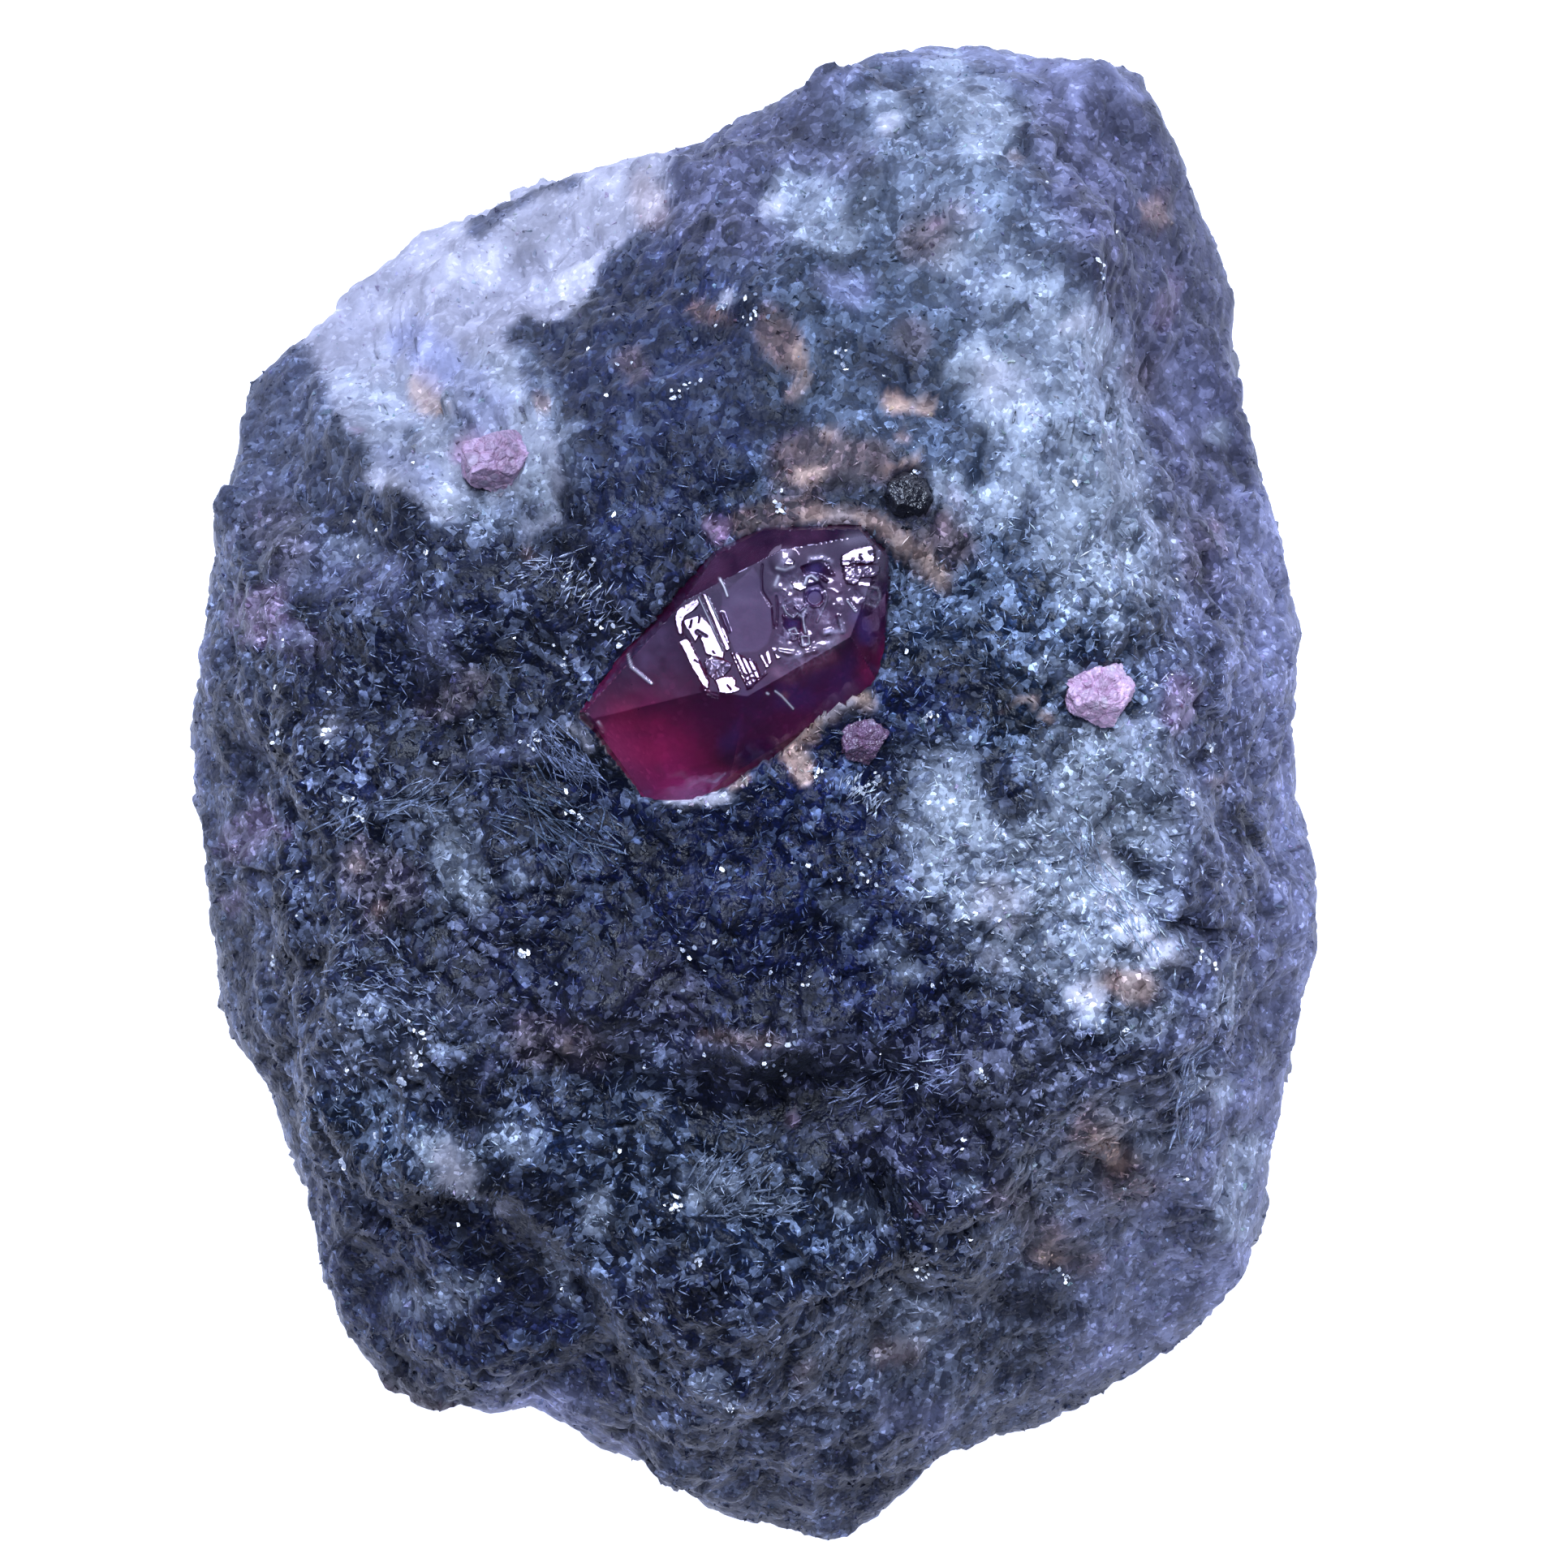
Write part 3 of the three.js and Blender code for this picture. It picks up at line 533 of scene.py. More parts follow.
def paint(piece, name, values):
    """Keeps a colour (three numbers) or a plain number for each point of a piece."""
    values = np.asarray(values, float)
    if values.ndim == 1:
        piece.data.attributes.new(name, "FLOAT", "POINT").data.foreach_set("value", values)
    else:
        four = np.concatenate([values, np.ones((len(values), 1))], axis=1)
        piece.data.attributes.new(name, "FLOAT_COLOR", "POINT").data.foreach_set("color", four.ravel())


# What the rock is made of, place by place: the dark and the light mineral of each ground, the share
# of light grains in it, and how strongly its grains differ. Lilac and black also serve as painted
# light and shade.
GROUNDS = {
    "navy": ((0.003, 0.006, 0.038), (0.064, 0.088, 0.165), 0.18, 1.0),
    "speckled": ((0.006, 0.009, 0.034), (0.145, 0.172, 0.265), 0.29, 1.0),
    "green": ((0.010, 0.020, 0.046), (0.185, 0.245, 0.36), 0.42, 1.0),
    "frost": ((0.115, 0.14, 0.205), (0.48, 0.535, 0.63), 0.72, 0.7),
    "plum": ((0.018, 0.017, 0.050), (0.23, 0.225, 0.36), 0.34, 0.8),
    # lilac: pale violet patches, and also painted haze of light along the rim
    "lilac": ((0.14, 0.145, 0.26), (0.36, 0.375, 0.58), 0.55, 0.5),
    "feldspar": ((0.20, 0.20, 0.275), (0.47, 0.455, 0.54), 0.72, 0.38),
    "white": ((0.46, 0.47, 0.58), (0.74, 0.71, 0.80), 0.7, 0.4),
    "brown": ((0.040, 0.026, 0.038), (0.20, 0.115, 0.10), 0.45, 0.9),
    "tan": ((0.28, 0.165, 0.14), (0.66, 0.46, 0.37), 0.65, 0.6),
    "pink": ((0.24, 0.13, 0.24), (0.55, 0.37, 0.52), 0.55, 0.6),
    "rust": ((0.05, 0.018, 0.018), (0.13, 0.05, 0.045), 0.35, 0.8),
    # black: black grains, and also painted shadow in hollows, a cleft and below a ledge
    "black": ((0.003, 0.004, 0.014), (0.03, 0.035, 0.08), 0.10, 0.9),
}

# Areas: ground, strength, width of the ragged edge, outline in plan.
AREAS = [
    ("green", 0.8, 2.5, [(-1, 8), (1, 21), (7, 22), (11, 9), (13, 4), (12, -3), (5, 2), (3, 8)]),
    ("plum", 0.9, 1.6, [(8.2, 23), (8.6, 18.5), (10.2, 14), (11.6, 9), (12.8, 5), (18, 4), (15, 24)]),
    ("plum", 0.7, 2.0, [(-3, 16), (-3, 20), (2.5, 23), (3.4, 19), (0.5, 16)]),
    ("frost", 0.32, 2.0, [(2.6, 17.4), (3.4, 21), (7.6, 21.4), (8.6, 18), (10, 15), (7, 14),
        (4.8, 15.4)]),
    ("frost", 0.62, 2.2, [(7.2, 14.0), (9.8, 14.4), (11.6, 10.5), (12.4, 6.4), (10.8, 5.0), (8.6, 7.0),
        (7.3, 9.2), (6.7, 11.4)]),
    ("frost", 0.78, 2.3, [(4.4, 2.0), (5.6, 1.6), (7.8, -0.6), (9.4, 2.4), (12.4, 2.6), (13.6, -0.6),
        (13.2, -2.4), (11.9, -3.6), (12.9, -5.2), (10.4, -7.0), (8.4, -6.2), (7.0, -5.4), (5.4, -3.3),
        (4.5, -0.8)]),
    ("speckled", 0.8, 3.0, [(-16, 9), (-9, 8), (-4, 5), (-5, -4), (-10, -7), (-17, -7)]),
    ("navy", 0.9, 2.2, [(-7.5, 1.2), (-4.6, 0.9), (-3.2, -0.4), (1.5, 1.0), (4.2, 3.8), (6.6, 4.3),
        (7.0, 2.4), (4.6, 1.2), (4.0, -3.4), (0.5, -4.6), (-4.6, -3.6), (-7.6, -1.0)]),
    ("navy", 0.75, 1.8, [(-8.0, 13.6), (-5.4, 13.9), (-3.6, 16.6), (0.5, 14.8), (0.8, 8.6), (-3.0, 6.2),
        (-5.6, 5.8), (-5.6, 10)]),
    ("plum", 0.55, 3.0, [(-7.5, -4), (3, -4.5), (6.5, -7.2), (12, -8), (15, -9), (12, -13), (4, -12),
        (-5, -8), (-9, -6)]),
    ("navy", 0.8, 2.0, [(-7.0, -3.0), (-2.0, -3.6), (4.0, -3.2), (6.4, -6.4), (4.0, -7.4), (-3.0, -7.0),
        (-7.4, -5.6)]),
    # Painted haze of light along the upper rim.
    ("lilac", 0.6, 1.4, [(2.0, 22.0), (4.5, 21.7), (9.0, 21.2), (12.0, 20.6), (12.5, 23), (4, 23.5)]),
    ("frost", 0.45, 1.6, [(7.2, 15.2), (10.0, 15.0), (12.0, 9.5), (12.8, 5.5), (11.0, 4.6), (8.6, 7.2),
        (7.0, 10.8)]),
    ("frost", 0.2, 3.0, [(8.5, -8), (14, -7), (14, -15), (9, -18), (2, -19.5), (1, -15.5), (7, -14.5)]),
    ("frost", 0.22, 1.6, [(-12.5, -6.2), (-8.6, -6.2), (-8.4, -9.2), (-12, -9.2)]),
    # Painted haze of light over the right flank.
    ("lilac", 0.5, 3.0, [(13.0, 9), (17.5, 9), (17.5, -13), (13.5, -18), (9.5, -20), (9.2, -15),
        (11.2, -11), (12.3, -7), (12.9, -3), (12.2, 2)]),
    # Painted shade in the hollow under the brow.
    ("black", 0.8, 1.6, [(-1.6, -8.6), (0.8, -9.2), (4.4, -8.2), (6.8, -9.6), (3.4, -10.2),
        (0, -10.0)]),
    ("green", 0.75, 1.6, [(-13.6, -9.2), (-11.0, -8.8), (-9.4, -9.8), (-7.2, -9.6), (-7.2, -11.4),
        (-8.4, -12.2), (-12.2, -11.2)]),
    ("green", 0.55, 1.6, [(-6.0, -8.4), (-3.0, -8.2), (-1.4, -9.4), (2.6, -11.2), (3.8, -13.0),
        (1.5, -14.6), (-4.6, -14.2), (-6.4, -11.4)]),
    ("navy", 0.75, 1.2, [(-13.2, -12.4), (-8.2, -12.5), (-5.9, -13.9), (-4.5, -16.2), (-3.6, -18.6),
        (-8.0, -18.0), (-12.5, -18.0)]),
    ("feldspar", 1.0, 0.5, [(-13.5, 13.3), (-15.6, 13.0), (-13.0, 17.0), (-9.0, 19.0), (-5.0, 20.0),
        (-2.5, 19.4), (-2.4, 17.8), (-3.1, 17.1), (-4.1, 16.4), (-4.7, 15.6), (-5.5, 14.2),
        (-6.5, 13.9), (-7.6, 13.8), (-7.2, 13.0), (-7.0, 11.7), (-5.8, 10.5), (-5.4, 9.1), (-5.5, 7.9),
        (-7.0, 7.7), (-8.0, 8.8), (-9.3, 8.1), (-10.4, 8.5), (-11.5, 9.1), (-11.7, 10.3), (-12.3, 11.2),
        (-12.9, 12.4)]),
    ("frost", 0.55, 1.6, [(-12.4, 12.4), (-10.0, 12.8), (-7.0, 13.4), (-5.4, 11.0), (-5.4, 8.0),
        (-9.0, 8.0), (-12.0, 9.6)]),
    # Painted haze of light along the rim, on the left, lower and right sides.
    ("lilac", 0.6, 0.8, [(-17.5, 4.5), (-16.6, 4.5), (-16.5, 1.6), (-16.8, 0), (-17.6, 0)]),
    ("lilac", 0.85, 1.2, [(-8.4, -18.0), (-5.4, -18.1), (-3.6, -19.8), (-4.6, -21), (-9, -20)]),
    ("lilac", 0.6, 2.2, [(14.7, 9.0), (14.9, 4.0), (15.6, -1.0), (15.3, -7.0), (14.8, -13.0),
        (16.0, -16.0), (18.0, -4.0), (17.5, 9.0)]),
    ("lilac", 0.5, 2.2, [(8.5, -17.6), (12.0, -15.8), (14.4, -12.8), (17, -15), (10, -20.5)]),
]

# Streaks and spots: ground, strength, half width, line in plan.
STREAKS = [
    ("frost", 0.8, 0.9, [(5.6, 21.0), (7.2, 19.8)]), ("white", 0.5, 0.35, [(4.3, 19.9)]),
    ("frost", 0.7, 0.8, [(2.6, 16.6), (1.2, 17.8)]), ("frost", 0.8, 0.7, [(6.2, 16.2), (7.4, 15.6)]),
    ("frost", 0.9, 0.75, [(8.8, 14.2), (9.9, 13.4)]), ("frost", 0.9, 0.9, [(7.0, 12.6), (7.7, 11.4)]),
    ("white", 0.5, 0.3, [(9.4, 13.7)]), ("white", 0.35, 0.6, [(7.4, 12.4)]),
    ("frost", 0.8, 0.6, [(9.4, 10.2), (10.8, 9.2)]), ("frost", 0.7, 0.5, [(14.0, 10.6)]),
    ("white", 0.45, 0.28, [(0.6, 17.6)]), ("white", 0.5, 0.25, [(7.8, 19.1)]),
    ("white", 0.65, 0.35, [(10.6, -2.0), (10.9, -3.4), (12.0, -4.6), (12.7, -5.3)]),
    ("white", 0.6, 0.65, [(7.4, -3.5), (8.0, -3.9)]), ("white", 0.9, 0.55, [(9.9, -6.0), (10.4, -6.2)]),
    ("white", 0.5, 0.3, [(8.9, -4.6)]), ("white", 0.35, 0.6, [(7.4, -5.0)]),
    ("frost", 0.9, 0.5, [(5.8, -0.4), (6.6, -1.0)]), ("white", 0.3, 0.5, [(10.5, -1.9)]),
    ("frost", 0.7, 0.6, [(13.2, -8.6), (13.6, -8.9)]),
    ("frost", 0.6, 0.4, [(14.4, -5.4), (14.0, -6.6)]),
    ("frost", 0.8, 0.7, [(14.2, -12.8), (14.8, -11.0)]),
    ("lilac", 0.8, 0.9, [(15.6, 5.4), (15.4, 3.6)]), ("frost", 0.7, 0.75, [(-9.2, -1.5), (-8.6, -2.6)]),
    ("frost", 0.3, 0.4, [(-10.4, -0.6), (-8.6, -1.2)]),
    ("lilac", 0.35, 0.4, [(-9.6, 0.3), (-8.6, 1.0), (-6.4, 1.2)]), ("frost", 0.5, 0.3, [(-7.0, -2.6)]),
    ("pink", 0.45, 0.7, [(-14.7, 5.7), (-14.9, 5.0)]),
    ("pink", 0.35, 0.6, [(-13.8, 4.6), (-13.2, 4.2)]),
    ("lilac", 0.7, 0.5, [(-13.7, 4.5), (-13.3, 4.2)]), ("white", 0.3, 0.25, [(-13.4, 4.4)]),
    ("lilac", 0.35, 1.0, [(-13.2, 6.8), (-11.2, 6.4)]), ("lilac", 0.5, 0.7, [(-9.6, 4.9), (-9.2, 3.9)]),
    ("white", 0.85, 0.34, [(-12.8, 1.8)]), ("frost", 0.7, 0.3, [(-12.3, -4.3)]),
    ("frost", 0.85, 0.8, [(-9.4, -10.8), (-8.6, -11.3)]),
    ("white", 0.8, 0.6, [(-9.0, -11.0), (-8.6, -11.5)]), ("white", 0.4, 0.4, [(-11.4, -12.9)]),
    ("white", 0.5, 0.22, [(-7.5, -12.5)]), ("white", 0.8, 0.4, [(-10.2, -8.2)]),
    ("lilac", 0.5, 0.3, [(-7.8, -8.2), (-8.3, -9.2), (-8.4, -10.4)]),
    ("frost", 0.5, 0.5, [(-1.7, -11.7), (-0.4, -11.8), (-0.8, -12.3)]),
    ("frost", 0.45, 0.35, [(-1.4, -12.4), (0.8, -12.2)]),
    ("frost", 0.6, 0.5, [(-4.6, -12.4), (-4.4, -13.0)]),
    ("frost", 0.5, 0.3, [(-6.0, -13.9), (-5.4, -15.2)]),
    # Painted highlight: a pale line along the lit edge of the brow.
    ("lilac", 0.35, 0.3, [(-1.6, -7.9), (1.6, -7.8)]),
    ("frost", 0.5, 0.45, [(2.6, -12.2), (3.8, -12.8)]),
    ("frost", 0.4, 0.45, [(-1.4, -17.9), (-0.6, -18.4)]),
    ("white", 0.75, 0.75, [(-5.6, 15.1), (-5.4, 14.8)]),
    ("white", 0.4, 1.0, [(-9.0, 16.2), (-4.4, 17.6)]),
    ("white", 0.5, 0.4, [(-11.4, 9.2), (-10.8, 9.0)]),
    ("lilac", 0.6, 0.45, [(-10.4, 13.8), (-9.4, 12.8)]),
    ("green", 0.5, 0.5, [(-6.2, 8.6), (-7.2, 8.2)]), ("green", 0.8, 0.35, [(-10.2, 10.6)]),
    ("navy", 0.85, 0.45, [(-8.1, 17.1), (-6.5, 17.9), (-5.6, 18.3)]),
    ("brown", 0.35, 1.2, [(-14.2, 7.6)]), ("frost", 0.4, 0.5, [(-10.6, -15.4), (-8.6, -15.0)]),
    ("tan", 0.7, 0.45, [(-9.9, 12.2), (-9.4, 11.3)]), ("tan", 0.85, 0.25, [(-9.4, 11.3)]),
    ("pink", 0.8, 0.3, [(-11.6, 10.8)]), ("pink", 0.85, 0.5, [(-8.5, 10.1), (-8.2, 9.6)]),
    ("tan", 0.5, 0.22, [(-6.4, 11.6)]), ("tan", 0.3, 0.3, [(-6.9, 7.0)]),
    ("brown", 0.6, 0.5, [(-3.6, 12.6)]), ("brown", 0.9, 0.4, [(-1.6, 14.4), (-1.0, 13.9)]),
    ("white", 0.6, 0.22, [(-0.8, 14.6)]), ("brown", 0.85, 0.55, [(0.5, 13.9), (0.9, 12.8)]),
    ("tan", 0.6, 0.2, [(1.4, 12.9), (1.7, 12.2), (1.2, 11.8)]),
    ("tan", 1.0, 0.26, [(4.0, 11.6), (5.2, 11.4)]), ("white", 0.4, 0.2, [(4.6, 11.5)]),
    ("tan", 0.9, 0.24, [(4.0, 9.5), (4.6, 9.7)]), ("brown", 0.8, 0.9, [(1.4, 9.6), (3.4, 9.9)]),
    ("tan", 0.7, 0.25, [(1.5, 9.3), (2.0, 9.5)]), ("tan", 0.5, 0.2, [(2.2, 10.6)]),
    ("tan", 0.5, 0.2, [(4.3, 10.6)]), ("brown", 0.5, 0.6, [(5.0, 13.4)]),
    ("brown", 0.8, 0.4, [(-0.2, 7.8), (0.8, 8.2), (1.8, 8.3)]),
    ("tan", 0.6, 0.3, [(1.9, 8.15), (2.8, 8.15)]),
    ("tan", 0.8, 0.34, [(3.3, 8.1), (4.2, 7.7), (5.0, 7.0), (5.5, 6.5)]),
    ("pink", 0.5, 0.35, [(5.6, 8.2), (6.0, 8.5)]), ("brown", 0.7, 0.8, [(4.4, 8.9), (6.0, 7.6)]),
    ("brown", 0.45, 0.6, [(5.4, 16.8), (4.6, 16.2)]), ("pink", 0.4, 0.25, [(5.4, 17.2)]),
    ("pink", 0.75, 0.3, [(-1.3, 7.9), (-0.9, 7.6)]), ("tan", 0.6, 0.15, [(-1.9, 6.6)]),
    ("brown", 0.4, 0.8, [(-11.6, -2.3), (-10.4, -2.6), (-11.0, -3.6)]),
    ("tan", 0.3, 0.2, [(-11.7, -2.2)]), ("tan", 0.35, 0.25, [(-11.1, -3.4)]),
    ("brown", 0.5, 0.7, [(-9.2, 2.6), (-8.2, 3.2)]), ("brown", 0.5, 0.8, [(-6.4, -7.4), (-4.8, -8.0)]),
    ("tan", 0.3, 0.22, [(-5.6, -7.7)]), ("brown", 0.2, 0.9, [(-4.0, -5.4), (-2.0, -6.2)]),
    ("tan", 0.4, 0.25, [(-1.4, -7.5), (0.6, -7.6)]),
    ("tan", 1.0, 0.42, [(1.8, 1.8), (2.2, 2.1), (2.8, 2.5), (3.3, 2.65)]),
    ("tan", 0.9, 0.26, [(1.7, 1.7), (1.2, 1.0)]), ("white", 0.6, 0.32, [(2.2, 2.1), (3.0, 2.5)]),
    ("rust", 0.45, 0.2, [(1.9, 1.5), (1.4, 0.9)]), ("tan", 0.75, 0.26, [(1.3, 0.9), (1.6, 0.4)]),
    ("tan", 0.7, 0.16, [(7.3, 2.4), (7.9, 2.8), (8.4, 2.8), (8.4, 2.5)]),
    ("tan", 0.6, 0.14, [(9.0, 2.2), (8.7, 2.3)]), ("pink", 0.45, 0.55, [(12.9, 2.9), (12.6, 2.3)]),
    ("tan", 0.35, 0.3, [(13.9, 0.2)]), ("tan", 0.4, 0.3, [(12.4, 17.2)]),
    ("tan", 0.75, 0.6, [(10.8, -5.7), (11.8, -6.0)]), ("pink", 0.3, 0.4, [(12.6, 15.0), (12.2, 14.2)]),
    ("brown", 0.8, 0.9, [(10.5, -10.4), (11.3, -11.6)]),
    ("tan", 0.75, 0.5, [(10.6, -10.6), (11.2, -11.2)]),
    ("brown", 0.7, 0.6, [(8.8, -13.8), (9.6, -14.0)]), ("tan", 0.7, 0.42, [(9.0, -14.0)]),
    ("brown", 0.5, 0.6, [(7.6, -12.0), (8.4, -12.8)]), ("tan", 0.35, 0.5, [(3.8, -16.6), (4.6, -16.7)]),
    ("tan", 0.25, 0.4, [(1.6, -17.4)]), ("rust", 0.95, 0.7, [(-11.0, -18.0), (-9.4, -18.7)]),
    ("pink", 0.7, 0.18, [(1.1, -10.0)]), ("pink", 0.7, 0.16, [(4.9, -12.5)]),
    ("pink", 0.5, 0.2, [(10.7, -12.8)]), ("pink", 0.6, 0.1, [(9.2, -15.1)]),
    ("pink", 0.3, 0.6, [(-15.5, -1.6), (-14.6, -0.8)]), ("pink", 0.3, 0.4, [(-15.5, -3.2)]),
    ("pink", 0.35, 0.3, [(14.0, 8.0)]), ("black", 0.8, 1.0, [(-5.6, 6.6), (-4.6, 5.0)]),
    ("black", 0.7, 0.8, [(-3.4, 7.4), (-2.4, 6.6)]), ("black", 0.7, 0.8, [(6.2, 3.8), (7.2, 3.0)]),
    ("black", 0.7, 0.6, [(7.2, 0.6), (7.8, -0.4)]), ("black", 0.8, 0.25, [(11.1, -1.9), (11.9, -2.5)]),
    ("black", 0.85, 0.4, [(14.6, -0.9), (14.8, -1.5)]),
    ("black", 0.75, 0.8, [(-8.6, -8.8), (-8.4, -9.6)]),
    ("black", 0.7, 0.5, [(-7.8, -11.8), (-5.8, -12.2)]),
    # Painted shadow: the black streaks of this and the next five lines darken the shade below the lower
    # ledge, in the hollows and in the cleft of the lower end.
    ("black", 0.7, 0.5, [(-10.2, -12.7), (-8.6, -13.0)]),
    ("black", 0.6, 0.7, [(-7.0, -13.4), (-6.6, -15.0)]),
    ("black", 0.9, 0.32, [(4.3, -13.2), (4.8, -14.9)]), ("black", 0.8, 0.35, [(3.8, -12.0)]),
    ("black", 0.75, 0.45, [(7.0, -15.1), (9.2, -15.6)]),
    ("black", 0.75, 0.5, [(12.6, -13.0), (13.4, -13.3)]),
    ("black", 0.7, 0.25, [(-0.4, -12.0), (-1.6, -13.0)]),
    ("black", 0.6, 0.7, [(-13.9, 2.9), (-12.3, 2.4)]), ("black", 0.6, 0.6, [(-10.6, 4.5), (-9.6, 3.4)]),
    ("black", 0.95, 0.5, [(4.7, 8.75)]),
    ("black", 0.9, 0.22, [(3.9, 8.75), (4.2, 9.4), (4.9, 9.55), (5.5, 9.1), (5.5, 8.4), (4.8, 8.0),
        (4.1, 8.2), (3.9, 8.75)]),
    ("black", 0.7, 0.6, [(1.0, 11.2), (0.2, 10.8)]), ("black", 0.6, 0.6, [(2.4, 8.9), (3.4, 8.8)]),
    ("black", 0.6, 0.5, [(-13.2, -4.9), (-12.8, -5.4)]),
    ("black", 0.55, 0.6, [(3.6, 12.9), (4.4, 12.5)]), ("black", 0.6, 0.8, [(0.0, -6.4), (2.6, -6.6)]),
    ("black", 0.6, 0.8, [(-4.8, -5.8), (-6.0, -4.8)]),
    ("white", 0.9, 0.16, [(-2.5, -0.3), (-2.2, -0.28)]),
    ("white", 0.9, 0.16, [(-1.9, -0.2), (-0.9, -0.22)]),
    ("white", 0.85, 0.2, [(-5.25, 1.85), (-4.75, 1.3)]),
    ("tan", 0.6, 0.14, [(-0.7, 0.2), (-0.4, 0.25)]), ("brown", 0.4, 1.1, [(5.5, 16.7)]),
    ("rust", 0.55, 0.35, [(11.9, 17.0), (12.4, 17.8)]), ("tan", 0.4, 0.3, [(12.1, 17.3)]),
    ("tan", 0.35, 0.35, [(7.9, 19.0)]), ("brown", 0.4, 0.7, [(13.7, 7.9), (13.4, 6.6)]),
    ("brown", 0.4, 0.6, [(11.8, 12.4)]), ("white", 0.5, 0.4, [(9.7, 13.9)]),
    ("white", 0.3, 0.9, [(7.6, 12.2)]), ("white", 0.4, 0.25, [(2.6, 13.6)]),
    ("frost", 0.6, 0.6, [(5.8, 8.9), (6.9, 8.2), (8.2, 8.9)]),
    ("lilac", 0.5, 0.6, [(2.2, 15.4), (3.2, 15.0)]), ("frost", 0.45, 0.6, [(9.0, 3.7), (10.2, 3.2)]),
    ("frost", 0.4, 0.5, [(4.1, -4.9), (4.7, -5.6)]), ("frost", 0.4, 0.45, [(2.4, -3.3), (3.0, -3.8)]),
    ("frost", 0.45, 0.7, [(10.8, -7.2), (12.2, -6.6)]),
    ("frost", 0.4, 0.7, [(11.0, -9.8), (12.2, -10.6)]),
    ("frost", 0.45, 0.6, [(-7.9, -10.2), (-7.0, -10.5)]),
    ("frost", 0.45, 0.7, [(4.0, -15.2), (5.2, -15.8)]),
    ("lilac", 0.5, 0.6, [(4.0, -18.6), (5.4, -18.8)]),
    ("lilac", 0.5, 0.7, [(12.8, 12.4), (13.0, 11.2)]), ("frost", 0.5, 0.6, [(3.8, 20.6), (5.0, 20.2)]),
    ("white", 0.3, 0.3, [(4.1, 19.9)]), ("speckled", 0.5, 0.5, [(6.6, 14.8), (7.2, 15.8)]),
    ("speckled", 0.45, 0.5, [(5.2, 11.9)]), ("speckled", 0.5, 0.5, [(9.0, 10.2)]),
    ("speckled", 0.45, 0.4, [(8.2, 8.4)]), ("plum", 0.5, 0.6, [(3.2, 18.6)]),
    ("frost", 0.55, 0.45, [(8.0, -11.0), (8.6, -11.4)]), ("lilac", 0.7, 0.4, [(10.2, -12.6)]),
    ("frost", 0.7, 0.35, [(7.4, -13.3)]), ("white", 0.4, 0.25, [(9.6, -10.9)]),
    ("frost", 0.5, 0.4, [(6.4, -11.6)]), ("frost", 0.35, 0.4, [(-12.4, 7.4), (-11.6, 7.1)]),
    ("lilac", 0.55, 0.7, [(-9.8, 13.2), (-8.6, 12.0), (-8.0, 11.0)]),
    ("lilac", 0.4, 0.6, [(-11.0, 10.0), (-10.0, 9.4)]), ("frost", 0.6, 0.4, [(-6.4, 9.4), (-6.0, 8.4)]),
    ("speckled", 0.6, 0.3, [(-8.6, 10.9), (-8.9, 10.6)]),
    ("speckled", 0.5, 0.3, [(-7.4, 8.5), (-6.7, 8.3)]), ("tan", 0.3, 0.5, [(-3.2, 18.0), (-3.0, 17.2)]),
    ("navy", 0.6, 0.22, [(-6.9, 12.4), (-6.6, 12.0)]),
    ("white", 0.35, 0.35, [(-10.9, 14.4), (-9.6, 15.0)]),
]

# What lies under the ruby: dark rock, with painted light and shade that show through the crystal:
# pale patches at its lower left and right ends, where light comes through it, and a dark spot in its
# middle.
LINING = (0.13, 0.10, 0.17)
LINING_LIGHT_AND_SHADE = [
    ((-3.6, 1.5), 1.7, (1.0, 0.85, 0.85)), ((3.3, 4.1), 0.6, (0.9, 0.6, 0.65)),
    ((1.2, 2.5), 0.9, (0.26, 0.20, 0.30)), ((-1.8, 0.5), 1.0, (0.9, 0.70, 0.9)),
    ((-0.4, 1.7), 0.8, (0.02, 0.02, 0.06)), ((0.3, 1.2), 0.4, (0.45, 0.40, 0.50)),
]

# Darker stretches: middle, radius, and how much darker. The two at (0.4, -10.2) and (1.6, -10.2) are
# painted shade in the hollow under the brow.
DARK_STRETCHES = [
    ((-7.6, -0.9), 2.4, 0.45), ((0.4, -10.2), 1.9, 0.7), ((-2.6, -5.8), 2.6, 0.35),
    ((-5.9, 1.2), 1.4, 0.6), ((-9.4, 0.2), 1.2, 0.6), ((-14.8, -6.4), 2.0, 0.5),
    ((-7.6, -5.8), 1.5, 0.5), ((-9.0, -3.6), 1.0, 0.4), ((0.4, -7.0), 1.3, 0.4),
    ((3.6, 18.4), 2.0, 0.35), ((-10.6, 6.6), 1.4, 0.25), ((6.0, 12.5), 1.6, 0.3),
    ((3.0, 6.9), 1.0, 0.2), ((-3.9, -2.0), 1.2, 0.6), ((0.6, 13.5), 1.5, 0.15),
    ((1.6, -10.2), 1.4, 0.5), ((-5.9, -0.2), 1.0, 0.5), ((-14.2, 3.3), 1.1, 0.5),
    ((-7.5, 3.3), 1.0, 0.5), ((-11.0, 1.7), 1.0, 0.45), ((-11.5, -2.0), 4.5, 0.2),
    ((7.2, -9.4), 1.6, 0.45), ((-4.1, -18.8), 1.2, 0.5), ((6.2, -0.2), 1.1, 0.4),
    ((9.6, -0.2), 1.1, 0.35),
]
# A pale haze painted on the sides, below a height: the veil of light along the rim, where light grazes
# the flanks.
SIDE_HAZE, SIDE_HAZE_STRENGTH = (0.17, 0.18, 0.27), 0.15
SIDE_HAZE_BOTTOM, SIDE_HAZE_RISE = 9, 7
SIDE_SHAKE, TOP_CALM = 1.9, 1.58     # noise shifts markings this far on the sides, less this on top
FADE = 2.5                       # over this height below the waist the markings fade out
CALM_FROM, CALM_RUN, CALM = 4, 8, 0.42    # towards the blunt end the grains differ less
UNDER_RUBY_GRIT = 0.12
LINING_INSET = 0.02              # the lining begins this far inside the socket's outline


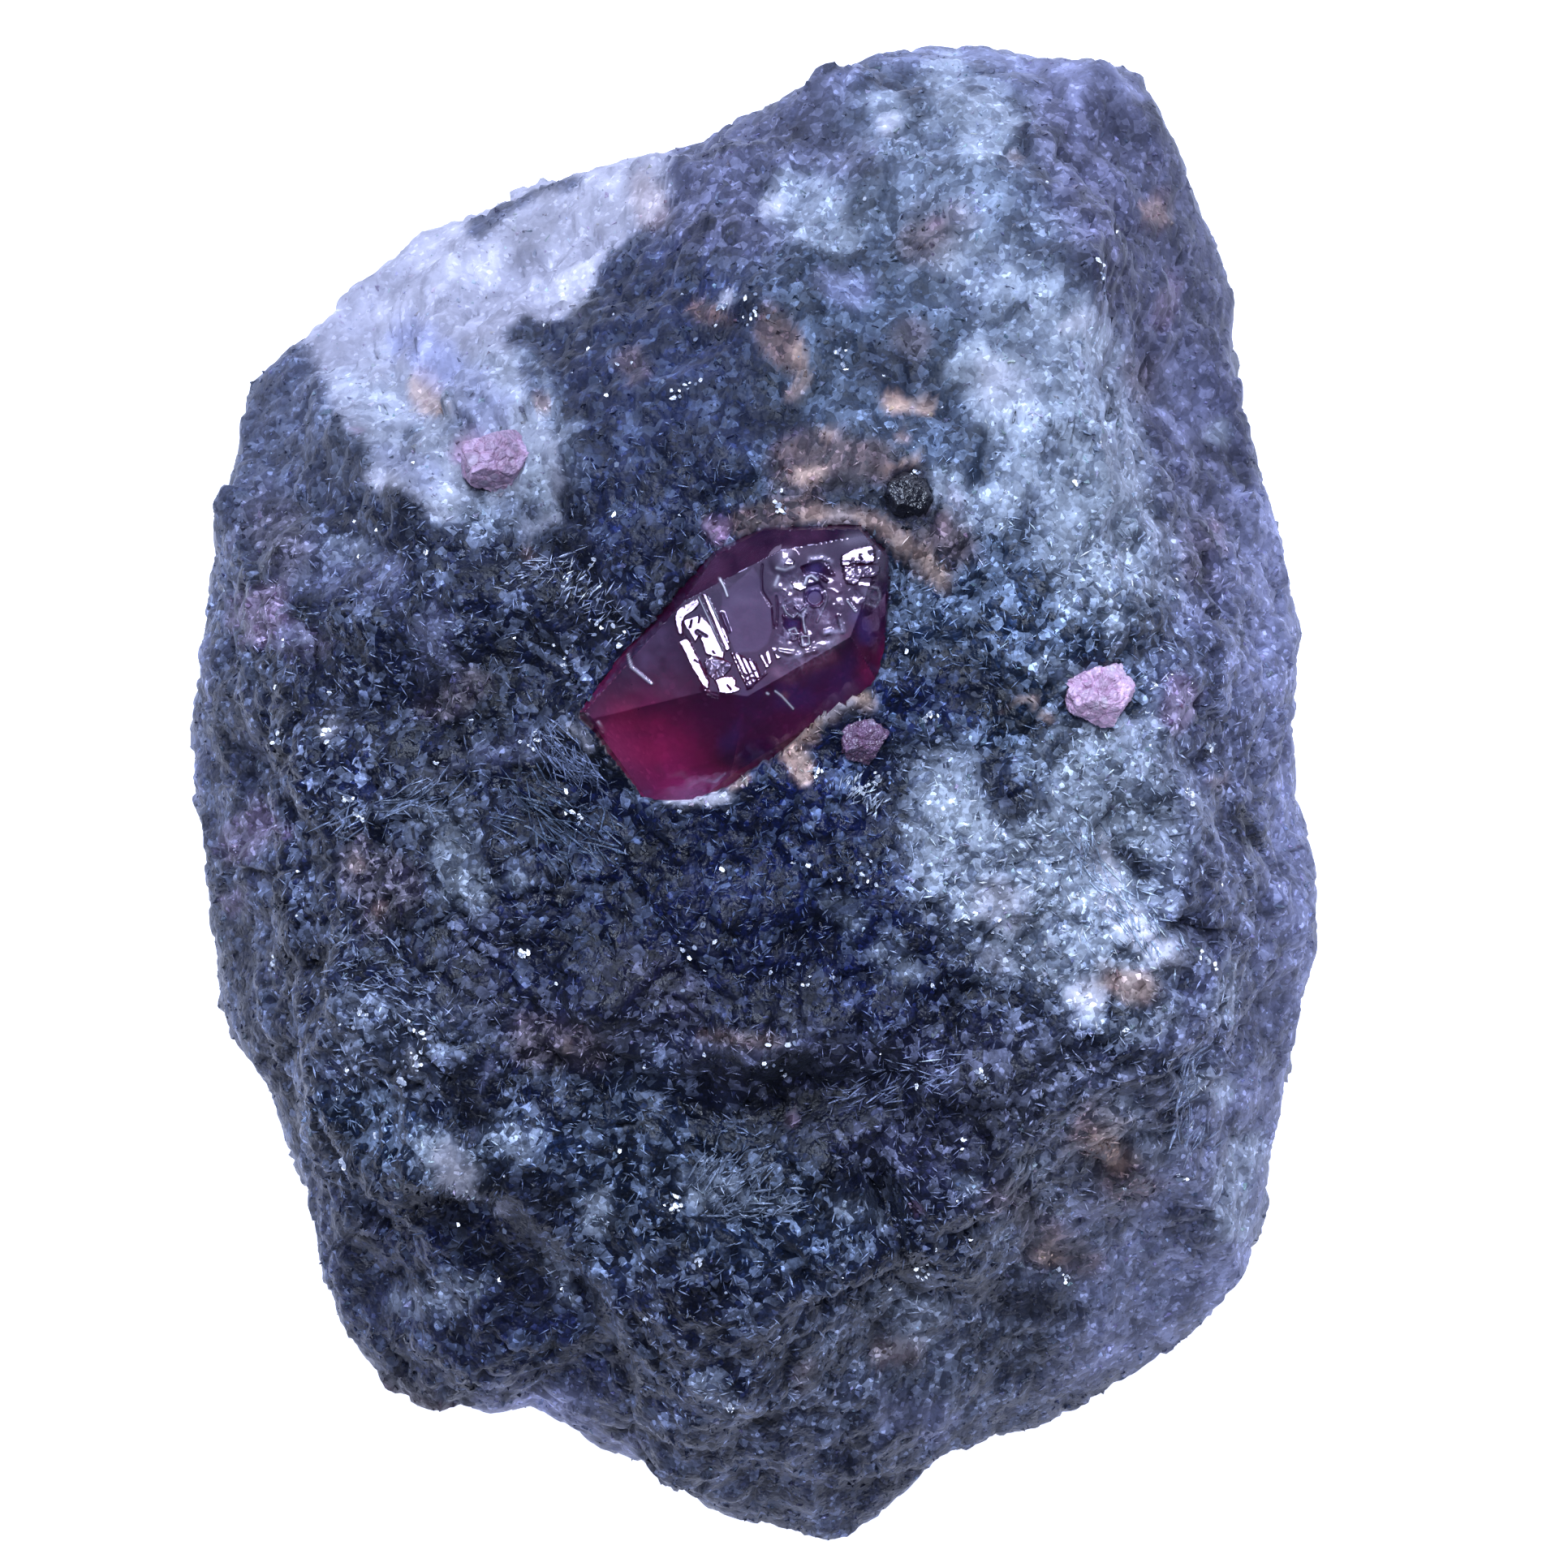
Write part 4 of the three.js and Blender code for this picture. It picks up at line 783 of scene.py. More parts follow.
def ground_of(p):
    """The dark mineral's colour, the light one's, the share of light grains and how much grains
    differ, for each point. The point is brought back to the outline's plan and shifted by soft
    noise, more on the sides. Speckled rock comes first, and each area and streak is laid over it
    with a soft ragged edge; some of them are painted haze at the rim, painted highlights and
    painted shadows. The darker stretches, the painted haze of the sides, soft blotches and the
    painted light and shade under the ruby come last."""
    plan = p[:, :2] / taper_at(p[:, 2])[:, None]
    upper = smooth_step((p[:, 2] - WAIST_HEIGHT + FADE) / FADE)
    shift = np.stack([cloud(p, 2.2, 200), cloud(p, 2.2, 220)], axis=1)
    plan = plan + (SIDE_SHAKE - TOP_CALM * upper)[:, None] * shift
    coarse, fine, ragged = cloud(p, 5.0, 240), cloud(p, 1.3, 260), cloud(p, 0.6, 270, 2)
    mixed = np.tile(np.concatenate([np.ravel(part) for part in GROUNDS["speckled"]]), (len(p), 1))
    for place, (ground, strength, edge, outline) in enumerate(AREAS + STREAKS):
        line = np.array(outline)
        target = np.concatenate([np.ravel(part) for part in GROUNDS[ground]])
        low, high = line.min(axis=0) - edge - 1.5, line.max(axis=0) + edge + 1.5
        near = np.flatnonzero(((plan > low) & (plan < high)).all(axis=1))
        x, y = plan[near, 0], plan[near, 1]
        if place < len(AREAS):
            inner = inside_distance(outline, x, y) / edge + 0.5
        else:
            inner = (edge - path_distance(outline, x, y)) / (0.7 * edge + 0.1) + 0.4
        through = 1 if ground == "feldspar" else upper[near]
        shaken = (0.35 + 0.5 / (1 + edge * edge)) * fine[near] + 0.7 / (1 + edge) * ragged[near]
        weight = strength * through * smooth_step(inner + shaken)
        mixed[near] += weight[:, None] * (target - mixed[near])
    for middle, radius, darker in DARK_STRETCHES:
        weight = bell([middle], radius, plan[:, 0], plan[:, 1])
        mixed[:, :6] *= np.exp(-darker * upper * weight)[:, None]
    mixed[:, 7] *= 1 - CALM * smooth_step((plan[:, 1] - CALM_FROM) / CALM_RUN)
    # Painted haze of light on the sides, below a height.
    side_haze = 1 - smooth_step((p[:, 2] - SIDE_HAZE_BOTTOM) / SIDE_HAZE_RISE)
    mixed[:, :6] += SIDE_HAZE_STRENGTH * side_haze[:, None] * (np.tile(SIDE_HAZE, 2) - mixed[:, :6])
    mixed[:, 7] *= 1 - SIDE_HAZE_STRENGTH * side_haze
    grit = mixed[:, 7]
    blotches = 0.3 * fine + (0.15 + 0.85 * (1 - mixed[:, 6])) * ragged
    mixed[:, :6] *= np.exp((0.2 + 0.26 * grit) * cloud(p, 2.0, 280) + blotches - 0.09)[:, None]
    mixed[:, 6] *= 1 + grit * (0.4 * coarse + 0.65 * fine + 0.4 * ragged)
    # Painted light and shade under the ruby, seen through the crystal.
    lining = np.tile(LINING, (len(p), 1)).astype(float)
    for middle, radius, tone in LINING_LIGHT_AND_SHADE:
        weight = bell([middle], radius, plan[:, 0], plan[:, 1])
        lining += weight[:, None] * (np.array(tone) - lining)
    under = inside_distance(SOCKET_OUTLINE, p[:, 0], p[:, 1]) > LINING_INSET
    under &= p[:, 2] > WAIST_HEIGHT
    mixed[under, :3], mixed[under, 3:6], mixed[under, 7] = lining[under], lining[under], UNDER_RUBY_GRIT
    return mixed[:, :3], mixed[:, 3:6], np.clip(mixed[:, 6], 0, 1), mixed[:, 7]


rock_points, rock_faces = rock_skin()
rock = new_piece("rock_matrix", rock_points, rock_faces, smooth=True)
rock_dark, rock_light, rock_share, rock_grit = ground_of(rock_points)
# These colours also carry the painted haze, highlights and shadows, and the painted light and shade
# under the ruby.
paint(rock, "dark_mineral", rock_dark)
paint(rock, "light_mineral", rock_light)
paint(rock, "light_share", rock_share)
paint(rock, "grit", rock_grit)
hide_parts("matrix")
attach(rock, "root")


class Wire:
    """A socket of the finish being made; sums and products with it put in Math nodes."""

    def __init__(self, finish, socket):
        self.finish, self.socket = finish, socket

    def math(self, operation, first, second=0.0):
        return self.finish.node("ShaderNodeMath", {"operation": operation}, {0: first, 1: second})[0]

    def __add__(self, other):
        return self.math("ADD", self, other)

    def __sub__(self, other):
        return self.math("SUBTRACT", self, other)

    def __rsub__(self, other):
        return self.math("SUBTRACT", other, self)

    def __mul__(self, other):
        return self.math("MULTIPLY", self, other)

    def __truediv__(self, other):
        return self.math("DIVIDE", self, other)

    def clipped(self):
        return self.math("MINIMUM", self.math("MAXIMUM", self, 0.0), 1.0)

    __radd__, __rmul__ = __add__, __mul__


class Finish:
    """A material; its one method puts in a node with its settings and its sockets' values."""

    def __init__(self, name, **sockets):
        self.material = bpy.data.materials.new(name)
        self.material.use_nodes = True
        self.tree = self.material.node_tree
        self.shader = self.tree.nodes["Principled BSDF"]
        self.place = self.node("ShaderNodeTexCoord")["Object"]
        for socket, value in sockets.items():
            self.set(socket.replace("_", " "), value)

    def fill(self, socket, value):
        if isinstance(value, Wire):
            self.tree.links.new(value.socket, socket)
        elif socket.type == "RGBA" and len(value) == 3:
            socket.default_value = (*value, 1)
        else:
            socket.default_value = value

    def node(self, kind, settings={}, sockets={}):
        """A node of a kind, settings first, then values or wires. Gives its outputs as wires."""
        node = self.tree.nodes.new(kind)
        for name, value in settings.items():
            setattr(node, name, value)
        for name, value in sockets.items():
            self.fill(node.inputs[name], value)
        outputs = {i: Wire(self, socket) for i, socket in enumerate(node.outputs)}
        outputs.update({socket.name: Wire(self, socket) for socket in node.outputs if socket.enabled})
        return outputs

    def set(self, socket, value):
        """Gives one socket of the shader its value or wire."""
        self.fill(self.shader.inputs[socket], value)

    def blend(self, factor, first, second, mode="MIX"):
        """Colour between two others, by a factor from 0 to 1."""
        settings = {"data_type": "RGBA", "blend_type": mode}
        return self.node("ShaderNodeMix", settings, {0: factor, 6: first, 7: second})["Result"]

    def scaled(self, color, share):
        """A colour made brighter or darker by a share."""
        return self.node("ShaderNodeVectorMath", {"operation": "SCALE"},
                         {"Vector": color, "Scale": share})["Vector"]

    def cells(self, size):
        """Voronoi cells of a size in millimetres: three numbers of each and the distance."""
        found = self.node("ShaderNodeTexVoronoi", {}, {
            "Vector": self.place, "Scale": 1 / (size * MM)})
        parts = self.node("ShaderNodeSeparateColor", {}, {"Color": found["Color"]})
        return parts["Red"], parts["Green"], parts["Blue"], found["Distance"]

    def noise(self, size, detail=3.0):
        """Soft noise of a size in millimetres, from 0 to 1."""
        return self.node("ShaderNodeTexNoise", {}, {
            "Vector": self.place, "Scale": 1 / (size * MM), "Detail": detail})[0]

    def attribute(self, name):
        return self.node("ShaderNodeAttribute", {"attribute_name": name})

    def bump(self, height, depth):
        """Bumps of a depth in millimetres, from a height from 0 to 1."""
        self.set("Normal", self.node("ShaderNodeBump", {}, {
            "Height": height, "Distance": depth * MM, "Strength": 1.0})["Normal"])

    def on(self, *pieces):
        for piece in pieces:
            piece.data.materials.clear()
            piece.data.materials.append(self.material)


# Each grain is of the dark or of the light mineral, by its own number against the share of light
# grains. Grains differ in brightness and polish, and stand out a little, as far as the grit goes.
GRAIN_SIZE = 0.3
FINE_GRAIN = 0.13
FINEST_GRAIN = 0.09
MIXED_GRAINS = 0.3               # over this range of the number a grain is part dark, part light


def specks_and_sparkle(fine):
    """The brightest tenth of the fine cells, as small bright dots: grains of light mineral, and also
    painted sparkle of the grains' tiny faces.
    """
    return ((fine - 0.9) * 12).clipped()


rock_finish = Finish("granular_amphibole_rock", Sheen_Weight=0.1, Sheen_Roughness=0.45,
                     Sheen_Tint=(0.7, 0.8, 1.0), IOR=1.5, Specular_IOR_Level=0.32)
pick, bright, polish, dome = rock_finish.cells(GRAIN_SIZE)
fine_bright, _, _, fine_dome = rock_finish.cells(FINE_GRAIN)
grit = rock_finish.attribute("grit")["Fac"]
share = rock_finish.attribute("light_share")["Fac"]
light_grain = share + grit * (((share - pick) / MIXED_GRAINS + 0.5).clipped() - share)
grain_color = rock_finish.blend(light_grain, rock_finish.attribute("dark_mineral")["Color"],
                                rock_finish.attribute("light_mineral")["Color"])
# Each grain's own brightness, with bright dots of painted sparkle added
shade = 1 + grit * ((0.5 + 0.8 * bright) * (0.4 + fine_bright) + 1.6 * specks_and_sparkle(fine_bright) - 1)
rock_finish.set("Base Color", rock_finish.scaled(grain_color, shade))
rock_finish.set("Roughness", (0.65 + grit * (0.35 * polish + 0.2 * light_grain - 0.4)).clipped())
relief_height = 0.6 * (1 - dome) + 0.4 * (1 - fine_dome) + 0.5 * rock_finish.noise(0.12)
rock_finish.bump((0.2 + 0.8 * grit) * relief_height, 0.055)
rock_finish.on(rock)


# ---- Grains of the rock's skin ----------------------------------------------------------------
# Amphibole and feldspar crystals that the break left standing, each with its own faces. They are
# part of the rock, half sunk in its skin.

CHIP_COUNT = 90000               # places tried
CHIP_SIZE = (0.12, 0.42)         # smallest and largest usual length
CHIP_FORM = (0.8, 0.55, 0.4), (1.25, 0.9, 0.7)    # least and most, along each of its three axes
STEEP_SIZE = 0.6                 # share of that size on steep breaks
CHIP_SINK = 0.24                 # share of a grain's size that its middle lies under the skin
STEEP_SINK = 0.2                 # and this much more on steep breaks
BARE_SHARE = 0.2                 # share of grains that stand where the rock has no grit
LOWEST_CHIP = 0.35               # none stands under this height
CHIP_CLEARANCE = 0.06            # from the ruby's socket
SOCKET_FOOT = 15                 # grains under this height are clear of the crystals
CHIP_SMALLNESS = 1.8             # the larger, the commoner small grains are
CHIP_MIXED = 0.25                # over this range of share a grain is part dark, part light
CHIP_CONTRAST, CHIP_TINT = 0.36, 0.07    # how far grains differ in brightness and in hue
CHIPS_IN_A_PIECE = 23000
dice = np.random.default_rng(7)


def triangles_of(faces):
    """Four-sided faces cut along a diagonal, and three-sided ones as they are."""
    cut = []
    for f in faces:
        if f.shape[1] == 4:
            cut += [f[:, [0, 1, 2]], f[:, [0, 2, 3]]]
        else:
            cut.append(f)
    return np.concatenate(cut)


def spots_on(points, triangles, count):
    """Random places on a mesh, as many on each triangle as its area earns, with its normal."""
    a, b, c = (points[triangles[:, i]] for i in range(3))
    cross = np.cross(b - a, c - a)
    area = np.linalg.norm(cross, axis=1)
    chosen = dice.choice(len(triangles), count, p=area / area.sum())
    u, v = dice.random(count), dice.random(count)
    over = u + v > 1
    u, v = np.where(over, 1 - u, u), np.where(over, 1 - v, v)
    place = a[chosen] + u[:, None] * (b - a)[chosen] + v[:, None] * (c - a)[chosen]
    return place, cross[chosen] / np.maximum(area[chosen], 1e-9)[:, None]


def random_turns(count):
    """Evenly spread rotation matrices, from random unit quaternions."""
    q = dice.normal(size=(count, 4))
    w, x, y, z = (q / np.linalg.norm(q, axis=1)[:, None]).T
    return np.stack([
        1 - 2 * (y * y + z * z), 2 * (x * y - w * z), 2 * (x * z + w * y),
        2 * (x * y + w * z), 1 - 2 * (x * x + z * z), 2 * (y * z - w * x),
        2 * (x * z - w * y), 2 * (y * z + w * x), 1 - 2 * (x * x + y * y),
    ], axis=1).reshape(-1, 3, 3)


SHARD = np.array([(1, 0, 0), (-1, 0, 0), (0, 1, 0), (0, -1, 0), (0, 0, 1), (0, 0, -1)], float)
SHARD_FACES = np.array([
    (0, 2, 4), (2, 1, 4), (1, 3, 4), (3, 0, 4), (2, 0, 5), (1, 2, 5), (3, 1, 5), (0, 3, 5)])


def shards(places, turns, half_sizes, unevenness=0.25):
    """Eight-faced crystals: six corners on three crossed axes, each moved a little, scaled by the
    half sizes, turned and set at the places."""
    count = len(places)
    corners = SHARD[None] + dice.uniform(-unevenness, unevenness, (count, 6, 3))
    corners = corners * half_sizes[:, None, :]
    corners = np.einsum("nij,nkj->nki", turns, corners) + places[:, None, :]
    faces = SHARD_FACES[None] + 6 * np.arange(count)[:, None, None]
    return corners.reshape(-1, 3), faces.reshape(-1, 3)


box_low, box_high = (np.array(corner) / MM for corner in cad_box)


def kept_in_box(points):
    """No point passes the CAD model's box."""
    return np.clip(points, box_low, box_high)


rock_triangles = triangles_of(rock_faces)
chip_places, chip_normals = spots_on(rock_points, rock_triangles, CHIP_COUNT)
off_crystals = inside_distance(SOCKET_OUTLINE, chip_places[:, 0], chip_places[:, 1]) < -CHIP_CLEARANCE
for name in SMALL_CRYSTALS:
    off_crystals &= crystal_distance(name, chip_places[:, 0], chip_places[:, 1]) > 1.0
above = chip_places[:, 2] > LOWEST_CHIP
off_crystals |= chip_places[:, 2] < SOCKET_FOOT
chip_places, chip_normals = chip_places[off_crystals & above], chip_normals[off_crystals & above]
chip_dark, chip_light, chip_share, chip_grit = ground_of(chip_places)
stands = dice.random(len(chip_places)) < BARE_SHARE + chip_grit
chip_places, chip_normals, chip_dark, chip_light, chip_share, chip_grit = (
    kept[stands] for kept in (chip_places, chip_normals, chip_dark, chip_light, chip_share, chip_grit))
chip_total = len(chip_places)
chip_length = CHIP_SIZE[0] + (CHIP_SIZE[1] - CHIP_SIZE[0]) * dice.random(chip_total) ** CHIP_SMALLNESS
chip_length = chip_length * (STEEP_SIZE + (1 - STEEP_SIZE) * smooth_step(chip_normals[:, 2] * 1.6))
chip_half = 0.5 * chip_length[:, None] * dice.uniform(*CHIP_FORM, (chip_total, 3))
chip_sink = CHIP_SINK + STEEP_SINK * (1 - smooth_step(chip_normals[:, 2] * 2))
chip_places = chip_places - (chip_sink * chip_length)[:, None] * chip_normals
chip_corners, chip_faces = shards(chip_places, random_turns(chip_total), chip_half)
chip_corners = kept_in_box(chip_corners)
chip_pick = smooth_step((chip_share - dice.random(chip_total)) / CHIP_MIXED + 0.5)
chip_pick = (chip_share + chip_grit * (chip_pick - chip_share))[:, None]
chip_tone = chip_dark + chip_pick * (chip_light - chip_dark)
chip_tone = chip_tone * np.exp(chip_grit * dice.normal(0, CHIP_CONTRAST, chip_total))[:, None]
chip_tone = np.clip(chip_tone * (1 + dice.normal(0, CHIP_TINT, (chip_total, 3))), 0, 0.9)
chip_polish = np.clip(dice.random(chip_total) + 1.4 * (1 - chip_grit), 0, 1.5)
chip_finish = Finish("amphibole_grains", Sheen_Weight=0.05, Sheen_Roughness=0.45,
                     Sheen_Tint=(0.7, 0.8, 1.0), IOR=1.55, Specular_IOR_Level=0.4)
chip_fine = chip_finish.cells(FINEST_GRAIN)[0]
# The grains' own brightness, with bright dots of painted sparkle added
chip_shade = 0.45 + 1.0 * chip_fine + 1.2 * specks_and_sparkle(chip_fine)
chip_shade = 1 + chip_finish.attribute("grit")["Fac"] * (chip_shade - 1)
chip_finish.set("Base Color", chip_finish.scaled(chip_finish.attribute("tone")["Color"], chip_shade))
chip_finish.set("Roughness", 0.08 + 0.36 * chip_finish.attribute("polish")["Fac"])
chip_finish.bump(chip_finish.noise(FINEST_GRAIN), 0.045)

for first in range(0, chip_total, CHIPS_IN_A_PIECE):
    last = min(first + CHIPS_IN_A_PIECE, chip_total)
    chips = new_piece(f"rock_grains_{first // CHIPS_IN_A_PIECE}", chip_corners[6 * first:6 * last],
                      [chip_faces[8 * first:8 * last] - 6 * first])
    paint(chips, "tone", np.repeat(chip_tone[first:last], 6, axis=0))
    paint(chips, "polish", np.repeat(chip_polish[first:last], 6))
    paint(chips, "grit", np.repeat(chip_grit[first:last], 6))
    chip_finish.on(chips)
    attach(chips, "root")


# ---- Glinting cleavages, slivers and blades ---------------------------------------------------
# Amphibole splits into bright flat cleavages, thin slivers and bundles of blades. They lie in the
# rock's skin, the brightest of them turned to the same side.

# Clusters of glints: place in plan and radius.
GLINT_SPOTS = [
    (-12.8, 1.9, 0.4), (-14.4, 1.6, 0.2), (-11.6, -0.7, 0.15), (-7.0, -5.0, 0.1), (-15.3, -5.5, 0.15),
    (-11.4, -6.5, 0.4), (-9.9, -7.1, 0.3), (-10.2, -8.3, 0.35), (-10.7, -8.9, 0.12), (10.2, 15.0, 0.22),
    (-0.9, 15.0, 0.2), (-0.1, 14.5, 0.25), (2.7, 13.3, 0.22), (9.6, 9.1, 0.15), (13.8, 1.3, 0.15),
    (7.0, -8.6, 0.2), (12.7, -10.6, 0.2), (14.1, -12.7, 0.12), (-0.6, -18.3, 0.12), (3.4, 0.05, 0.3),
    (3.8, 0.4, 0.2), (1.95, 0.6, 0.15), (-5.0, 6.1, 0.6), (-4.4, 4.9, 0.5), (-2.1, 12.5, 0.5),
    (-12.1, -0.2, 0.1), (-5.5, -0.9, 0.5), (8.0, -5.0, 0.8), (5.6, -15.8, 0.3), (10.8, -16.8, 0.12),
    (6.9, -3.6, 0.7), (5.4, 2.3, 0.3), (-1.7, -14.4, 0.15), (-2.5, -12.8, 0.3), (0.8, 8.5, 0.15),
    (-6.0, 4.2, 0.4), (13.2, -5.0, 0.2), (12.9, -0.1, 0.2), (-12.0, -11.0, 0.1), (3.1, -2.4, 0.5),
    (1.0, -8.0, 0.9), (-6.6, 1.6, 0.3), (4.8, 9.4, 0.15), (-1.8, -4.6, 0.8), (1.4, -5.6, 0.9),
]
GLINTS_IN_A_SPOT = 9
GLINT_SCATTER = 0.6              # of the cluster's radius
STRAY_GLINTS = 550
STRAY_HEIGHT = 14                # strays under this height are left out
GLINT_SIZE = (0.05, 0.2)
GLINT_LIFT = 0.09
GLINT_TURN = 0.14                # how far the faces are turned from the light's mirror way
PLATE_CORNERS = 6
PLATE_WIDTH, PLATE_DEPTH = 0.7, 0.9      # in shares of its length


def find_skin(x, y):
    """Point of the rock's upper skin over a place in the outline's plan."""
    angle = np.arctan2(y, x)
    return skin_point(np.clip(np.hypot(x, y) / outline_radius(angle), 0, 0.999), angle, True)


def skin_normal(x, y):
    """Normal of the upper skin, from four of its points a little to each side."""
    step = 0.15
    normal = np.cross(find_skin(x + step, y) - find_skin(x - step, y),
                      find_skin(x, y + step) - find_skin(x, y - step))
    return normal / np.linalg.norm(normal, axis=1)[:, None]


# The brightest faces mirror the lens light to the eye.
LENS_LIGHT = np.array([14.0, 77.0, 300.0])
EYE = np.array([0.9, 0.2, 267.6])


def plates(places, normals, sizes):
    """Flat six-cornered plates: an uneven ring of corners round each normal, and a point below."""
    count = len(places)
    aside = np.cross(normals, dice.normal(size=(count, 3)))
    aside /= np.linalg.norm(aside, axis=1)[:, None]
    other = np.cross(normals, aside)
    turn = np.linspace(0, 2 * np.pi, PLATE_CORNERS, endpoint=False)
    reach = sizes[:, None] * dice.uniform(0.6, 1.2, (count, PLATE_CORNERS))
    ring = places[:, None] + (reach * np.cos(turn))[..., None] * aside[:, None]
    ring = ring + (PLATE_WIDTH * reach * np.sin(turn))[..., None] * other[:, None]
    tip = places - PLATE_DEPTH * sizes[:, None] * normals
    corners = np.concatenate([ring, tip[:, None]], axis=1)
    step = np.arange(PLATE_CORNERS)
    after = (step + 1) % PLATE_CORNERS
    sides = np.stack([after, step, np.full(PLATE_CORNERS, PLATE_CORNERS)], axis=1)
    lids = np.stack([np.zeros(PLATE_CORNERS - 2, int), step[1:-1], step[2:]], axis=1)
    faces = np.concatenate([lids, sides])[None] + (PLATE_CORNERS + 1) * np.arange(count)[:, None, None]
    return corners.reshape(-1, 3), faces.reshape(-1, 3)


spots = np.repeat(np.array(GLINT_SPOTS), GLINTS_IN_A_SPOT, axis=0)
spread = dice.normal(size=(len(spots), 2)) * GLINT_SCATTER * spots[:, 2:]
strays = chip_places[dice.choice(len(chip_places), STRAY_GLINTS, replace=False)]
strays = strays[strays[:, 2] > STRAY_HEIGHT]
glint_places = np.concatenate([find_skin(*(spots[:, :2] + spread).T), strays])
glint_places[:, 2] += GLINT_LIFT
toward_eye = EYE - glint_places
toward_light = LENS_LIGHT - glint_places
toward_eye /= np.linalg.norm(toward_eye, axis=1)[:, None]
toward_light /= np.linalg.norm(toward_light, axis=1)[:, None]
glint_normals = toward_eye + toward_light + dice.normal(0, GLINT_TURN, glint_places.shape)
glint_normals /= np.linalg.norm(glint_normals, axis=1)[:, None]
glint_sizes = dice.uniform(*GLINT_SIZE, len(glint_places))
glint_points, glint_faces = plates(glint_places, glint_normals, glint_sizes / 2 + 0.02)
glints = new_piece("cleavage_glints", kept_in_box(glint_points), [glint_faces])
glint_finish = Finish("bright_cleavage", Base_Color=(0.16, 0.19, 0.28), IOR=1.65)
glint_finish.set("Roughness", 0.1 + 0.12 * glint_finish.noise(0.1))
glint_finish.bump(glint_finish.noise(0.06), 0.004)
glint_finish.on(glints)
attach(glints, "root")

# Bundles of blades: middle line in plan, half width, direction, count, shortest and longest
# blade, thickness and the blades' tone.
BLADES = [
    ([(-7.2, 0.0), (-4.8, -1.9)], 1.0, -36, 130, (0.4, 1.3), 0.07, (0.08, 0.105, 0.16)),
    ([(-6.2, 1.6), (-4.8, 0.2)], 0.5, -50, 120, (0.5, 1.0), 0.06, (0.16, 0.19, 0.30)),
    ([(-1.8, -12.0), (0.4, -11.8)], 0.7, 52, 70, (0.4, 1.2), 0.09, (0.17, 0.20, 0.27)),
    ([(-1.0, -12.8), (1.4, -12.4)], 0.5, 30, 50, (0.4, 1.0), 0.08, (0.17, 0.20, 0.27)),
    ([(-5.6, 6.8), (-3.8, 4.6)], 0.55, 40, 90, (0.2, 0.6), 0.045, (0.42, 0.46, 0.62)),
    ([(-7.4, 6.4), (-5.6, 7.0)], 0.35, 10, 40, (0.3, 0.8), 0.05, (0.34, 0.37, 0.50)),
    ([(-12.6, -1.0), (-9.6, -0.2)], 0.5, 25, 70, (0.6, 1.3), 0.07, (0.15, 0.18, 0.26)),
    ([(-12.4, -4.6), (-9.6, -6.2)], 0.9, -12, 110, (0.25, 0.7), 0.06, (0.17, 0.20, 0.29)),
    ([(3.0, 0.4), (3.8, -0.6)], 0.35, 60, 50, (0.25, 0.5), 0.06, (0.45, 0.5, 0.62)),
    ([(9.8, -1.4), (12.4, -4.8)], 0.6, -60, 160, (0.4, 1.0), 0.06, (0.44, 0.52, 0.66)),
    ([(13.4, -8.0), (14.4, -11.8)], 0.6, 70, 120, (0.4, 1.0), 0.07, (0.26, 0.30, 0.42)),
    ([(6.0, -8.4), (2.6, -9.4)], 0.7, 20, 90, (0.3, 0.8), 0.05, (0.22, 0.25, 0.38)),
]
BLADE_SCATTER, BLADE_SWAY = 0.5, 20      # across the bundle, and in degrees of direction
BLADE_LEAN, BLADE_ROLL = 0.12, 0.4       # out of the skin, and about the blade's own length
BLADE_CONTRAST = 0.35
BLADE_LIFT = 0.03
SLIVERS = 5200
SLIVER_LENGTH = (0.12, 0.42)
SLIVER_THICKNESS = 0.045
SLIVER_LIFT = 0.12
SLIVER_HEIGHT, SLIVER_FLATNESS, SLIVER_GRIT = 13, 0.6, 0.6    # the least where slivers lie

bundles = []
for line, width, direction, count, lengths, thickness, tone in BLADES:
    (ax, ay), (bx, by) = line
    t = dice.random(count)
    x = ax + t * (bx - ax) + width * dice.normal(0, BLADE_SCATTER, count)
    y = ay + t * (by - ay) + width * dice.normal(0, BLADE_SCATTER, count)
    turns = np.radians(direction + dice.normal(0, BLADE_SWAY, count))
    long = dice.uniform(*lengths, count) / 2
    thin = thickness / 2 * dice.uniform(0.6, 1.3, (count, 2))
    tones = np.array(tone) * np.exp(dice.normal(0, BLADE_CONTRAST, (count, 1)))
    bundles.append((find_skin(x, y), skin_normal(x, y), turns, np.column_stack([long, thin]), tones))
flat_lying = (chip_places[:, 2] > SLIVER_HEIGHT) & (chip_normals[:, 2] > SLIVER_FLATNESS)
flat_lying = np.flatnonzero(flat_lying & (chip_grit > SLIVER_GRIT))
chosen = dice.choice(flat_lying, SLIVERS, replace=False)
lifted = chip_places[chosen] + SLIVER_LIFT * chip_normals[chosen]
turns = dice.uniform(0, 2 * np.pi, SLIVERS)
thin = SLIVER_THICKNESS / 2 * dice.uniform(0.6, 1.4, (SLIVERS, 2))
long = dice.uniform(*SLIVER_LENGTH, SLIVERS) / 2
tones = chip_light[chosen] * dice.uniform(0.7, 2.2, (SLIVERS, 1))
bundles.append((lifted, chip_normals[chosen], turns, np.column_stack([long, thin]), tones))
blade_places, blade_normals, blade_turns, blade_halves, blade_tones = (
    np.concatenate(parts) for parts in zip(*bundles))
blade_count = len(blade_places)
along = np.stack([np.cos(blade_turns), np.sin(blade_turns), np.zeros(blade_count)], axis=1)
along -= (along * blade_normals).sum(axis=1)[:, None] * blade_normals
along /= np.linalg.norm(along, axis=1)[:, None]
